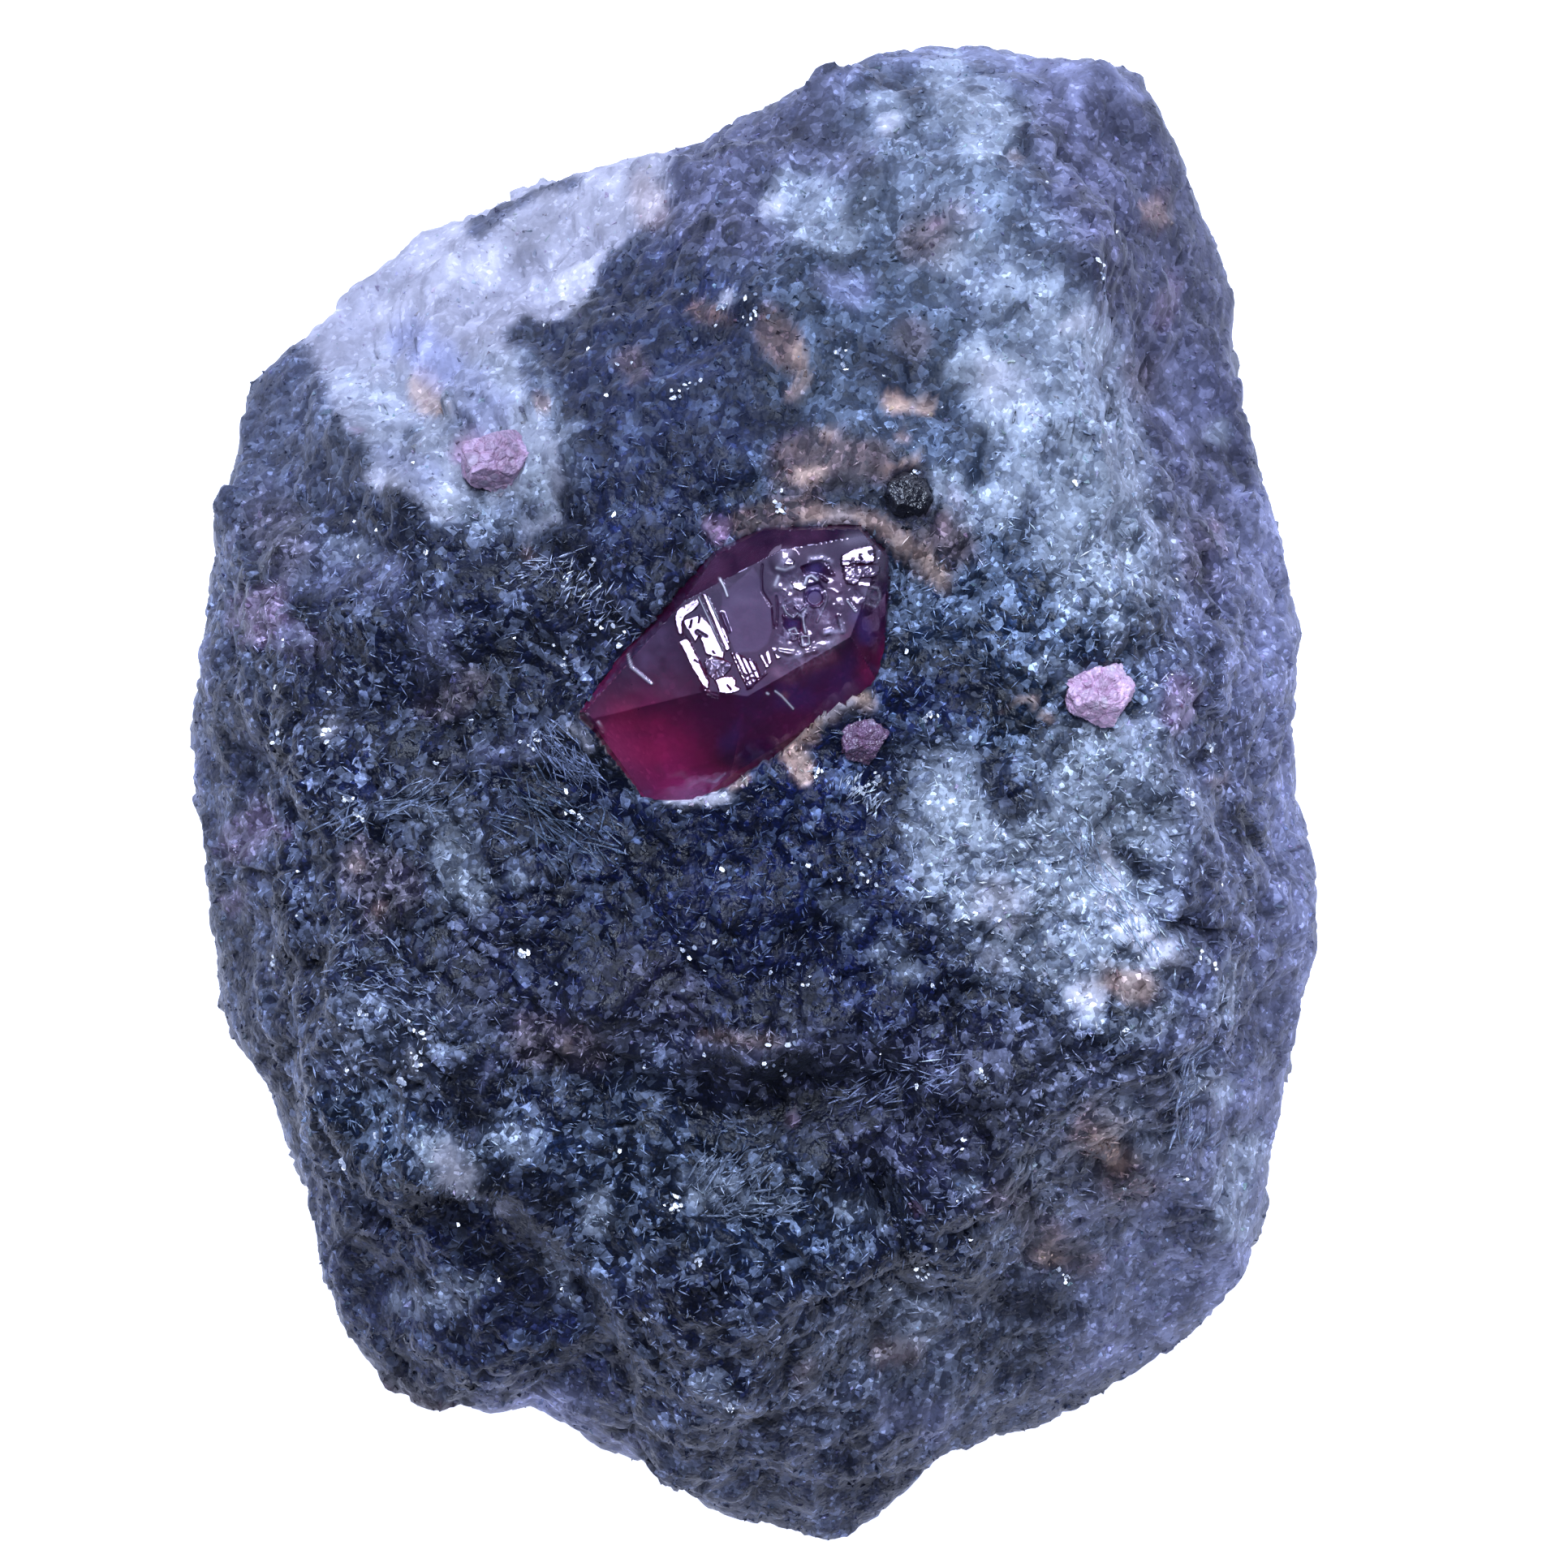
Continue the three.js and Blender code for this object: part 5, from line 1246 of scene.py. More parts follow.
along += dice.normal(0, BLADE_LEAN, blade_count)[:, None] * blade_normals
along /= np.linalg.norm(along, axis=1)[:, None]
across = np.cross(blade_normals + BLADE_ROLL * dice.normal(size=(blade_count, 3)), along)
across /= np.linalg.norm(across, axis=1)[:, None]
turns = np.stack([along, across, np.cross(along, across)], axis=2)
lifted = blade_places + BLADE_LIFT * blade_normals
blade_points, blade_faces = shards(lifted, turns, blade_halves, unevenness=0.12)
blades = new_piece("blades_and_slivers", kept_in_box(blade_points), [blade_faces])
paint(blades, "tone", np.repeat(np.clip(blade_tones, 0, 0.85), 6, axis=0))
paint(blades, "polish", np.repeat(dice.random(blade_count), 6) * 0.6)
paint(blades, "grit", np.full(6 * blade_count, 0.7))
chip_finish.on(blades)
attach(blades, "root")


# ---- Ruby crystal -----------------------------------------------------------------------------
# One clear red corundum crystal, grown into the rock and left standing in its socket. Growth
# terraces and a rod stand on its upper end, beside an etched patch, a knob and a few scratches.

RUBY_MIDDLE = np.array([0.2, 4.3])
RUBY_CELLS = 288                 # cells along a side of the grid of its upper side
RUBY_CROWDING = 0.66             # the grid is this much finer round the middle
RUBY_RINGS = 12                  # rings of its underside
SIDE_SPREAD = 0.14               # its sides reach this far into the rock
RUBY_TAPER = taper_at(TERRACE_HEIGHT)

# Terraces: outline, rise over the level top at the middle, roughness of the top, grooves along it.
TERRACES = [
    ([(-2.16, 4.44), (-1.9, 4.56), (-1.72, 4.2), (-1.52, 3.82), (-1.27, 3.3), (-1.28, 3.04),
      (-1.42, 3.06), (-1.78, 3.69)], 0.1, 0.001, 0),
    ([(-2.24, 5.38), (-1.93, 5.6), (-1.6, 5.74), (-1.56, 5.58), (-1.76, 5.36), (-1.98, 5.22),
      (-2.08, 5.0), (-2.04, 4.66), (-2.2, 4.7), (-2.3, 5.18)], 0.1, 0.006, 0),
    ([(-2.05, 5.08), (-1.78, 5.18), (-1.55, 5.26), (-1.38, 5.09), (-1.26, 4.99), (-1.08, 4.7),
      (-0.94, 4.39), (-0.82, 4.12), (-0.84, 3.93), (-1.08, 4.01), (-1.34, 4.05), (-1.47, 4.42),
      (-1.56, 4.62), (-1.68, 4.42), (-1.87, 4.76), (-2.0, 4.95)], 0.2, 0.001, 0),
    ([(-1.46, 5.86), (-1.35, 5.86), (-0.64, 4.24), (-0.75, 4.16)], 0.26, 0.0003, 0),
    ([(-0.94, 4.9), (-0.81, 4.82), (-0.66, 4.41), (-0.73, 4.4)], 0.16, 0.001, 0),
    ([(-1.41, 3.85), (-1.14, 4.03), (-0.84, 3.9), (-0.57, 3.8), (-0.66, 3.57), (-0.84, 3.42),
      (-1.08, 3.3), (-1.34, 3.5)], 0.12, 0.03, 0),
    ([(-1.1, 3.3), (-0.87, 3.39), (-0.59, 3.41), (-0.46, 3.3), (-0.49, 3.12), (-0.34, 3.05),
      (-0.38, 2.97), (-0.68, 2.88), (-0.95, 2.93), (-1.02, 3.13)], 0.16, 0.0015, 0),
    ([(-0.61, 4.12), (-0.43, 4.08), (-0.05, 3.9), (0.13, 3.84), (0.25, 3.48), (0.16, 3.28),
      (0.01, 3.04), (-0.12, 3.04), (-0.29, 3.39), (-0.47, 3.79)], 0.15, 0.001, 4),
    ([(0.23, 4.06), (0.31, 4.08), (0.52, 3.71), (0.44, 3.66)], 0.1, 0.004, 0),
    ([(0.41, 4.15), (0.51, 4.18), (0.61, 3.82), (0.52, 3.75)], 0.08, 0.002, 0),
    ([(0.6, 4.27), (0.72, 4.28), (0.87, 3.97), (0.76, 3.93)], 0.06, 0.003, 0),
    ([(2.68, 7.0), (3.03, 7.2), (3.42, 7.3), (3.62, 7.34), (3.68, 7.16), (3.68, 6.86), (3.48, 6.76),
      (3.03, 6.79), (2.86, 6.72), (2.7, 6.72)], 0.26, 0.0015, 0),
    ([(2.73, 6.7), (3.27, 6.73), (3.66, 6.77), (3.86, 6.7), (3.8, 6.48), (3.62, 6.37), (3.27, 6.37),
      (3.13, 6.16), (2.86, 6.18), (2.77, 6.37)], 0.22, 0.02, 0),
    ([(1.19, 6.22), (1.61, 6.25), (1.66, 6.06), (1.47, 5.97), (1.27, 6.05)], 0.12, 0.004, 0),
    ([(0.98, 6.76), (1.08, 6.98), (1.28, 6.86), (1.24, 6.74)], 0.16, 0.006, 0),
]
CREST = leaning(75, 7)           # all the terraces' tops face this way
GROWTH_WAY = np.array([0.42, -0.91])
STEP_WIDTH = 0.025
GROOVE_DEPTH = 0.02

# Cracks across the terraces, and worn edges that run round them: line, half width, depth.
CRACKS = [
    ([(-1.84, 4.86), (-1.79, 5.1)], 0.016, 0.02), ([(-1.55, 5.24), (-1.58, 5.0)], 0.014, 0.015),
    ([(-1.62, 4.74), (-1.5, 4.66)], 0.05, 0.03), ([(-1.4, 4.66), (-1.34, 4.6)], 0.03, 0.015),
    ([(-1.16, 4.17), (-1.1, 4.08)], 0.014, 0.015), ([(-1.99, 4.58), (-1.85, 4.5)], 0.016, 0.02),
    ([(-1.7, 3.9), (-1.62, 3.84)], 0.014, 0.015), ([(-0.72, 3.14), (-0.62, 3.02)], 0.016, 0.02),
    ([(-1.57, 3.84), (-1.39, 3.48), (-1.31, 3.3)], 0.014, 0.012),
    ([(2.95, 6.83), (3.05, 6.94)], 0.02, 0.02),
    ([(3.25, 7.05), (3.25, 6.94), (3.32, 6.9)], 0.022, 0.025),
    ([(3.5, 7.36), (3.66, 7.05)], 0.016, 0.02), ([(3.42, 7.34), (3.58, 7.05)], 0.014, 0.015),
    ([(2.76, 6.86), (3.6, 6.82)], 0.014, 0.012),
    ([(-0.3, 3.5), (-0.12, 3.42), (0.1, 3.56)], 0.02, 0.02),
    ([(-0.2, 3.2), (0.02, 3.36), (0.16, 3.34)], 0.018, 0.02),
]

# Rough patches: outline and depth of the etching.
ETCHED = [
    ([(0.5, 6.5), (0.45, 5.9), (0.8, 5.75), (0.85, 4.9), (0.75, 4.3), (1.3, 4.0), (2.2, 4.25),
        (2.85, 4.6), (2.8, 5.4), (2.75, 6.1), (2.3, 6.75), (1.6, 6.85), (1.3, 6.5)], 0.014),
    ([(2.8, 6.2), (3.2, 5.5), (3.8, 5.4), (3.9, 6.5), (3.4, 6.6), (2.8, 6.5)], 0.02),
]
# Smooth sunken places: outline, depth and slopes.
POOLS = [
    ([(1.56, 6.09), (2.02, 6.22), (2.2, 5.96), (2.22, 5.68), (1.88, 5.52),
        (1.6, 5.64)], 0.05, (0.04, 0.0)),
    ([(1.5, 6.68), (1.95, 6.84), (2.3, 6.75), (2.47, 6.44), (2.23, 6.4), (1.88, 6.48),
        (1.6, 6.5)], 0.06, (0.25, 0.12)),
    ([(0.95, 5.25), (1.25, 5.12), (1.5, 5.2), (1.48, 4.75), (1.1, 4.78),
        (0.95, 4.95)], 0.05, (-0.15, 0.25)),
]
# Thin raised welts: line, half width, rise.
WELTS = [
    ([(2.16, 5.97), (2.26, 5.82), (2.2, 5.54), (2.06, 5.26), (1.97, 5.05)], 0.03, 0.035),
    ([(0.95, 5.5), (1.08, 5.28), (1.26, 5.17), (1.47, 5.37), (1.61, 5.5)], 0.035, 0.04),
    ([(1.33, 5.47), (1.47, 5.33), (1.59, 5.23)], 0.05, 0.04),
    ([(1.54, 5.18), (1.57, 4.91), (1.62, 4.7)], 0.035, 0.05),
    ([(1.6, 6.18), (1.64, 6.37), (1.78, 6.43), (1.98, 6.29)], 0.045, 0.05),
    ([(2.07, 6.38), (2.24, 6.26)], 0.04, 0.04), ([(0.6, 5.5), (0.63, 5.16), (0.67, 4.86)], 0.02, 0.02),
    ([(1.8, 6.88), (2.1, 6.92), (2.3, 6.84)], 0.04, 0.03),
    ([(-0.12, 3.04), (0.16, 3.27), (0.44, 3.5)], 0.03, 0.03),
    ([(-1.46, 3.06), (-1.26, 2.88), (-1.02, 2.8)], 0.05, 0.04),
    ([(-0.88, 5.28), (-0.79, 5.03), (-0.68, 4.76)], 0.05, 0.03),
    ([(0.84, 4.15), (1.36, 4.05), (1.9, 4.18)], 0.08, 0.03), ([(2.23, 4.72), (2.35, 4.75)], 0.07, 0.05),
    ([(2.6, 5.2), (2.72, 4.74)], 0.05, 0.04),
]
KNOB = ((0.98, 6.86), 0.5, 0.06)           # middle, radius, height
# Raised rings: middle and radius.
RINGS = [((1.26, 4.6), 0.1), ((1.59, 4.46), 0.16), ((3.7, 5.86), 0.16), ((1.9, 5.75), 0.26)]
RING_RISE = 0.03                 # their height and their half width
PANE_GROOVES = [
    [(0.32, 6.75), (0.29, 6.37), (0.32, 5.96), (0.6, 5.5)], [(0.74, 5.8), (0.78, 5.3), (0.74, 4.9)],
]
PANE_GROOVE, PANE_GROOVE_DEPTH = 0.035, 0.016
# Scratches with a burr, and painted highlights along the rod's edges: line and half width.
SCRATCHES_AND_HIGHLIGHTS = [
    ([(-3.72, 4.1), (-3.6, 3.7), (-3.3, 3.45), (-3.0, 3.2)], 0.04),
    ([(0.71, 2.97), (0.89, 2.84), (1.25, 2.45)], 0.035),
    ([(-0.94, 6.32), (-0.81, 6.07), (-0.72, 5.82)], 0.04), ([(2.86, 5.67), (3.12, 5.34)], 0.025),
    ([(0.46, 2.91), (0.5, 2.89)], 0.045), ([(-4.62, 2.05), (-4.45, 1.75)], 0.035),
    # Painted highlights: two bright lines along the edges of the rod.
    ([(-1.58, 5.78), (-1.2, 4.95), (-0.84, 4.18)], 0.022), ([(-1.3, 5.8), (-0.98, 5.1)], 0.018),
]
BURR = 0.02                      # height of a scratch's burr
SWELL, RIPPLE = 0.012, 0.002     # heights of the crystal's soft unevenness
RAGGED_STEP = 0.014              # how far the terraces' edges wander


def spread_sides(faces):
    """The side faces set out by the spread, so that the rock closes over them."""
    wider = []
    for (px, py, pz), toward, tilt in faces:
        out = SIDE_SPREAD * np.array([np.cos(np.radians(toward)), np.sin(np.radians(toward))])
        wider.append(((px + out[0], py + out[1], pz), toward, tilt))
    return wider


WIDE_FACES = RUBY_TOP + spread_sides(RUBY_SIDES)


def crystal_top(x, y):
    """Height of the crystal's upper side. The lowest plane is taken first. Etching is folded noise
    inside the rough patches, pools press it down to a flat slope, and the knob is a low dome. Each
    terrace then lifts the surface to its own leaning plane inside its outline, with a steep
    smooth step at the edge, cosine grooves along it and noise of its own roughness. Cracks and
    grooves cut in, and welts, rings and burrs of scratches stand up, as bell curves of the distance
    to their lines."""
    height = np.min([face_height(face, x, y) for face in WIDE_FACES], axis=0)
    base = height.copy()
    px, py = x / RUBY_TAPER, y / RUBY_TAPER
    flat = np.stack([x, y, np.zeros(x.shape)], axis=1)
    folds = 1 - 2 * np.abs(cloud(flat, 0.55, 340, 3))
    rough = cloud(flat, 0.16, 380, 3)
    ragged = RAGGED_STEP * cloud(flat, 0.12, 390, 2)
    height += SWELL * cloud(flat, 1.6, 300) + RIPPLE * cloud(flat, 0.35, 320, 2)
    for outline, depth in ETCHED:
        height += depth * smooth_step(inside_distance(outline, px, py) / 0.25 + 0.4) * (folds - 0.3)
    for outline, depth, (slope_x, slope_y) in POOLS:
        mx, my = np.mean(outline, axis=0)
        floor_height = base - depth + slope_x * (px - mx) + slope_y * (py - my)
        inside = smooth_step(inside_distance(outline, px, py) / 0.1 + 0.5)
        height += inside * (floor_height - height)
    (kx, ky), radius, rise = KNOB
    height += rise * (1 - np.minimum(1, (np.hypot(px - kx, py - ky) / radius) ** 2)) ** 1.5
    for outline, rise, roughness, grooves in TERRACES:
        mx, my = np.mean(outline, axis=0)
        middle = np.array([mx * RUBY_TAPER, my * RUBY_TAPER, TERRACE_HEIGHT])
        top = (CREST @ middle - CREST[0] * x - CREST[1] * y) / CREST[2] + rise + roughness * rough
        if grooves:
            across = (px - mx) * GROWTH_WAY[1] - (py - my) * GROWTH_WAY[0]
            corners = np.array(outline) - (mx, my)
            width = np.ptp(corners[:, 0] * GROWTH_WAY[1] - corners[:, 1] * GROWTH_WAY[0])
            top -= GROOVE_DEPTH * (0.5 + 0.5 * np.cos(2 * np.pi * grooves * across / width)) ** 10
        inside = smooth_step((inside_distance(outline, px, py) + ragged) / STEP_WIDTH + 0.5)
        height = np.where(top > height, height + inside * (top - height), height)
    for line, width, depth in CRACKS:
        height -= depth * bell(line, width, px, py)
    for line, width, rise in WELTS:
        height += rise * bell(line, width, px, py)
    for middle, radius in RINGS:
        off_ring = path_distance([middle], px, py) - radius
        height += RING_RISE * np.exp(-(off_ring / RING_RISE) ** 2)
    for line in PANE_GROOVES:
        height -= PANE_GROOVE_DEPTH * bell(line, PANE_GROOVE, px, py)
    for line, width in SCRATCHES_AND_HIGHLIGHTS:
        height += BURR * bell(line, width, px, py)
    away = smooth_step((base - ruby_underside(x, y)) / 0.3)
    return base + away * (height - base)


def girdle_radius(angle):
    """Distance from the ruby's middle to where its upper and lower planes meet, found by halving
    the range of each ray forty times."""
    low, high = np.zeros(angle.shape), np.full(angle.shape, 9.0)
    for _ in range(40):
        reach = (low + high) / 2
        x, y = RUBY_MIDDLE[0] + reach * np.cos(angle), RUBY_MIDDLE[1] + reach * np.sin(angle)
        above = np.min([face_height(face, x, y) for face in WIDE_FACES], axis=0) > ruby_underside(x, y)
        low, high = np.where(above, reach, low), np.where(above, high, reach)
    return low


def ruby_surface():
    """Upper side over a square grid on the disc out to the girdle, finer round the middle, and the
    underside over rings from the same girdle points."""
    radius, angle, index, rim = disc_grid(RUBY_CELLS)
    reach = radius * (RUBY_CROWDING + (1 - RUBY_CROWDING) * radius ** 4) * girdle_radius(angle)
    x, y = RUBY_MIDDLE[0] + reach * np.cos(angle), RUBY_MIDDLE[1] + reach * np.sin(angle)
    upper = np.stack([x, y, crystal_top(x, y)], axis=1)
    shares = np.linspace(1, 0, RUBY_RINGS + 2)[1:-1]
    reach = np.repeat(shares, len(rim)) * np.tile(girdle_radius(angle[rim]), RUBY_RINGS)
    turn = np.tile(angle[rim], RUBY_RINGS)
    x, y = RUBY_MIDDLE[0] + reach * np.cos(turn), RUBY_MIDDLE[1] + reach * np.sin(turn)
    lower = np.stack([x, y, ruby_underside(x, y)], axis=1)
    return closed_shell(upper, index, rim, lower, [*RUBY_MIDDLE, ruby_underside(*RUBY_MIDDLE)])


# Frost, and painted light and shade on the crystal: colour, share of the light that they scatter,
# half width, line. The glow is painted where light comes through, the shade where little does, the
# sheen and the blue reflection over the top faces, and the highlights along welts and rings.
# Painted shade where little light comes through, a painted lavender sheen of the top faces, and frost
# that is also laid on as painted highlights.
PAINTED_SHADE, PAINTED_SHEEN, FROST_AND_HIGHLIGHT = (0.13, 0.035, 0.13), (0.20, 0.11, 0.27), (0.62, 0.54, 0.78)
# A rose tint, a painted red glow where light comes through, and a painted blue-violet reflection.
ROSE, PAINTED_GLOW, PAINTED_BLUE_REFLECTION = (0.40, 0.14, 0.27), (0.60, 0.03, 0.16), (0.06, 0.035, 0.22)
# Painted highlights along welts and rings, and the pale tone of scratches and of the painted lines along
# the rod.
PAINTED_HIGHLIGHT, SCRATCH_AND_HIGHLIGHT_TONE = (0.85, 0.82, 0.95), (0.9, 0.88, 0.95)
PAINTED_LIGHT_AND_FROST = [
    (PAINTED_GLOW, 0.2, 1.3, [(-3.9, 1.9), (-3.4, 1.5), (-2.6, 0.9)]),
    (PAINTED_GLOW, 0.08, 0.8, [(-1.6, 1.1), (-1.0, 0.7)]),
    (PAINTED_SHADE, 0.25, 0.8, [(-1.7, 6.4), (-0.2, 7.2), (1.8, 7.5)]),
    (PAINTED_SHEEN, 0.24, 1.0, [(-3.6, 4.0), (-2.8, 4.6), (-2.5, 3.9)]),
    (PAINTED_SHADE, 0.2, 0.6, [(-2.6, 3.2), (-2.0, 2.9)]), (PAINTED_GLOW, 0.1, 0.3, [(3.3, 4.1), (3.6, 4.0)]),
    (ROSE, 0.3, 0.12, [(-2.8, 0.66), (-2.5, 0.44), (-2.1, 0.5), (-1.8, 0.2)]),
    (PAINTED_BLUE_REFLECTION, 0.3, 0.5, [(-0.4, 1.9), (-0.7, 1.3)]),
    (FROST_AND_HIGHLIGHT, 0.22, 0.07, [(-1.9, 0.12), (-1.5, 0.34), (-1.1, 0.26), (-0.8, 0.5)]),
    (PAINTED_SHEEN, 0.35, 0.3, [(1.9, 3.4), (1.3, 3.1)]),
    (PAINTED_BLUE_REFLECTION, 0.3, 0.9, [(0.2, 2.6), (1.6, 3.0), (3.0, 3.5)]),
    (ROSE, 0.35, 0.3, [(0.8, 3.55), (1.2, 3.45)]), (ROSE, 0.25, 0.3, [(2.4, 4.0), (1.6, 3.7)]),
    (FROST_AND_HIGHLIGHT, 0.13, 0.22, [(0.84, 4.2), (1.36, 4.1), (1.9, 4.25), (2.6, 4.5)]),
    (PAINTED_BLUE_REFLECTION, 0.6, 0.4, [(1.85, 5.9)]), (PAINTED_BLUE_REFLECTION, 0.5, 0.35, [(1.9, 6.6)]),
    (PAINTED_BLUE_REFLECTION, 0.5, 0.3, [(1.2, 5.0)]), (PAINTED_SHADE, 0.4, 0.5, [(2.2, 5.2)]),
    (PAINTED_BLUE_REFLECTION, 0.5, 0.4, [(3.2, 5.2), (3.5, 4.6)]), (PAINTED_SHADE, 0.3, 0.4, [(2.5, 5.9), (2.6, 6.4)]),
    (FROST_AND_HIGHLIGHT, 0.22, 0.22, [(0.6, 6.15), (0.9, 6.1), (1.4, 6.15)]), (FROST_AND_HIGHLIGHT, 0.4, 0.35, [(0.95, 6.85)]),
    (PAINTED_HIGHLIGHT, 0.7, 0.12, [(1.2, 6.12), (1.5, 6.1)]), (PAINTED_HIGHLIGHT, 0.6, 0.08, [(0.7, 6.15), (0.8, 6.4)]),
    (PAINTED_HIGHLIGHT, 0.6, 0.07, [(0.75, 6.66), (1.0, 6.6), (1.25, 6.7)]),
    (FROST_AND_HIGHLIGHT, 0.35, 0.12, [(1.75, 6.95), (2.1, 7.0), (2.4, 6.85)]),
    (PAINTED_HIGHLIGHT, 0.6, 0.04, [(1.12, 4.8), (1.3, 4.86), (1.38, 4.7), (1.2, 4.66), (1.12, 4.8)]),
    (PAINTED_HIGHLIGHT, 0.5, 0.04, [(1.5, 4.6), (1.7, 4.62), (1.74, 4.4), (1.55, 4.34), (1.5, 4.6)]),
    (PAINTED_HIGHLIGHT, 0.6, 0.08, [(2.2, 4.72), (2.4, 4.78)]),
    (PAINTED_HIGHLIGHT, 0.4, 0.05, [(3.45, 5.6), (3.7, 5.5), (3.86, 5.75), (3.8, 6.05), (3.6, 6.1)]),
    (FROST_AND_HIGHLIGHT, 0.4, 0.1, [(0.84, 4.05), (1.1, 3.95), (1.5, 4.05)]),
    (PAINTED_HIGHLIGHT, 0.8, 0.05, [(0.95, 5.5), (1.05, 5.3), (1.24, 5.18), (1.36, 5.3), (1.5, 5.2), (1.62, 5.4)]),
    (PAINTED_HIGHLIGHT, 0.8, 0.05, [(1.54, 5.18), (1.57, 4.95), (1.62, 4.72)]),
    (PAINTED_HIGHLIGHT, 0.8, 0.055, [(1.6, 6.18), (1.66, 6.37), (1.8, 6.43), (1.96, 6.3)]),
    (FROST_AND_HIGHLIGHT, 0.4, 0.06, [(2.16, 5.97), (2.26, 5.82), (2.2, 5.54), (2.06, 5.26), (1.97, 5.05)]),
    (FROST_AND_HIGHLIGHT, 0.35, 0.1, [(2.2, 4.74), (2.75, 4.76), (2.66, 5.1)]),
    (FROST_AND_HIGHLIGHT, 0.3, 0.2, [(3.4, 5.95), (3.7, 5.75)]),
    (FROST_AND_HIGHLIGHT, 0.15, 0.3, [(2.9, 7.5), (3.5, 7.55), (3.95, 7.1), (3.9, 6.5)]),
    (FROST_AND_HIGHLIGHT, 0.3, 0.35, [(-1.1, 3.7)]), (FROST_AND_HIGHLIGHT, 0.25, 0.14, [(-2.15, 5.2), (-1.7, 5.6)]),
    (ROSE, 0.3, 0.14, [(1.0, 2.85)]),
]
# The smooth pane left of the etched patch, with a painted lavender sheen on it.
PANE = [
    (-0.9, 5.9), (-0.4, 6.3), (0.05, 6.7), (0.3, 6.3), (0.32, 5.9), (0.6, 5.5), (0.62, 4.8), (0.5, 4.4),
    (0.2, 4.15), (-0.5, 4.1), (-0.68, 4.6), (-0.9, 5.2),
]
# Mottled places beside the etched patches: outline, strength and width of the edge.
MOTTLED = [
    (TERRACES[5][0], 0.7, 0.06), (TERRACES[12][0], 0.35, 0.06), (TERRACES[1][0], 0.4, 0.06),
    ([(0.5, 6.7), (0.7, 7.2), (1.2, 7.3), (1.5, 6.9), (1.2, 6.5)], 0.8, 0.3),
    ([(-1.3, 6.0), (-0.5, 6.55), (0.2, 6.85), (1.4, 7.2), (2.7, 7.4), (2.7, 7.15), (1.5, 6.95),
        (-0.9, 5.9)], 0.4, 0.25),
    ([(0.6, 4.0), (0.5, 3.4), (1.4, 3.3), (2.4, 4.0), (2.6, 4.4), (1.6, 4.1)], 0.5, 0.3),
]

ruby_points, ruby_faces = ruby_surface()
ruby_points = kept_in_box(ruby_points)
ruby = new_piece("ruby", ruby_points, ruby_faces)
plan_x, plan_y = ruby_points[:, 0] / RUBY_TAPER, ruby_points[:, 1] / RUBY_TAPER
wander = cloud(ruby_points, 0.5, 360, 3)
# Tone and share of scattered light at each point: frost, and the painted glow, shade, sheen, reflection
# and highlights.
ruby_frost_and_light_share = np.full(len(ruby_points), 0.08)
ruby_frost_and_light_tone = np.tile(PAINTED_BLUE_REFLECTION, (len(ruby_points), 1)).astype(float)
pane = smooth_step(inside_distance(PANE, plan_x, plan_y) / 0.12 + 0.5)
# A faint frost and a painted lavender sheen over the pane.
ruby_frost_and_light_share = np.maximum(ruby_frost_and_light_share, 0.2 * pane * (1 + 0.25 * wander))
ruby_frost_and_light_tone += 0.6 * pane[:, None] * (np.array(PAINTED_SHEEN) - ruby_frost_and_light_tone)
ruby_etching = np.zeros(len(ruby_points))
for outline, strength, edge in [(outline, 1.0, 0.3) for outline, _ in ETCHED] + MOTTLED:
    rough = smooth_step(inside_distance(outline, plan_x, plan_y) / edge + 0.5 + edge * wander)
    ruby_etching = np.maximum(ruby_etching, strength * rough)
for outline, _, _ in POOLS:
    ruby_etching *= 1 - 0.8 * smooth_step(inside_distance(outline, plan_x, plan_y) / 0.15 + 0.5)
for tone, strength, width, line in PAINTED_LIGHT_AND_FROST:
    weight = bell(line, 0.8 * width, plan_x, plan_y) * np.clip(0.75 + 0.6 * wander, 0, 1.2)
    ruby_frost_and_light_tone += np.minimum(1.4 * weight, 1)[:, None] * (np.array(tone) - ruby_frost_and_light_tone)
    ruby_frost_and_light_share = np.maximum(ruby_frost_and_light_share, strength * weight)
# Pale scratches, and the painted highlights along the rod.
for line, width in SCRATCHES_AND_HIGHLIGHTS:
    weight = bell(line, width, plan_x, plan_y)
    ruby_frost_and_light_tone += weight[:, None] * (np.array(SCRATCH_AND_HIGHLIGHT_TONE) - ruby_frost_and_light_tone)
    ruby_frost_and_light_share = np.maximum(ruby_frost_and_light_share, 0.8 * weight)
    ruby_etching *= 1 - weight
# The frost attribute holds the share of painted light as well as of frost.
paint(ruby, "frost_and_painted_light_tone", ruby_frost_and_light_tone)
paint(ruby, "frost", ruby_frost_and_light_share)
paint(ruby, "etching", ruby_etching)

# Red from absorption along the light's way; the frost scatters light at the surface, and carries the
# painted glow, shade, sheen, reflection and highlights.
SHEEN_TINT = (0.92, 0.74, 1.0)
CORUNDUM_IOR = 1.77
ruby_finish = Finish("clear_red_corundum", Base_Color=(1.0, 0.62, 0.85), Transmission_Weight=1.0,
                     IOR=CORUNDUM_IOR, Roughness=0.03, Specular_Tint=SHEEN_TINT)
absorption = ruby_finish.node("ShaderNodeVolumeAbsorption", {}, {
    "Color": (0.86, 0.04, 0.56), "Density": 480.0})
output = ruby_finish.tree.nodes["Material Output"]
ruby_finish.fill(output.inputs["Volume"], absorption["Volume"])
etching = ruby_finish.attribute("etching")["Fac"]
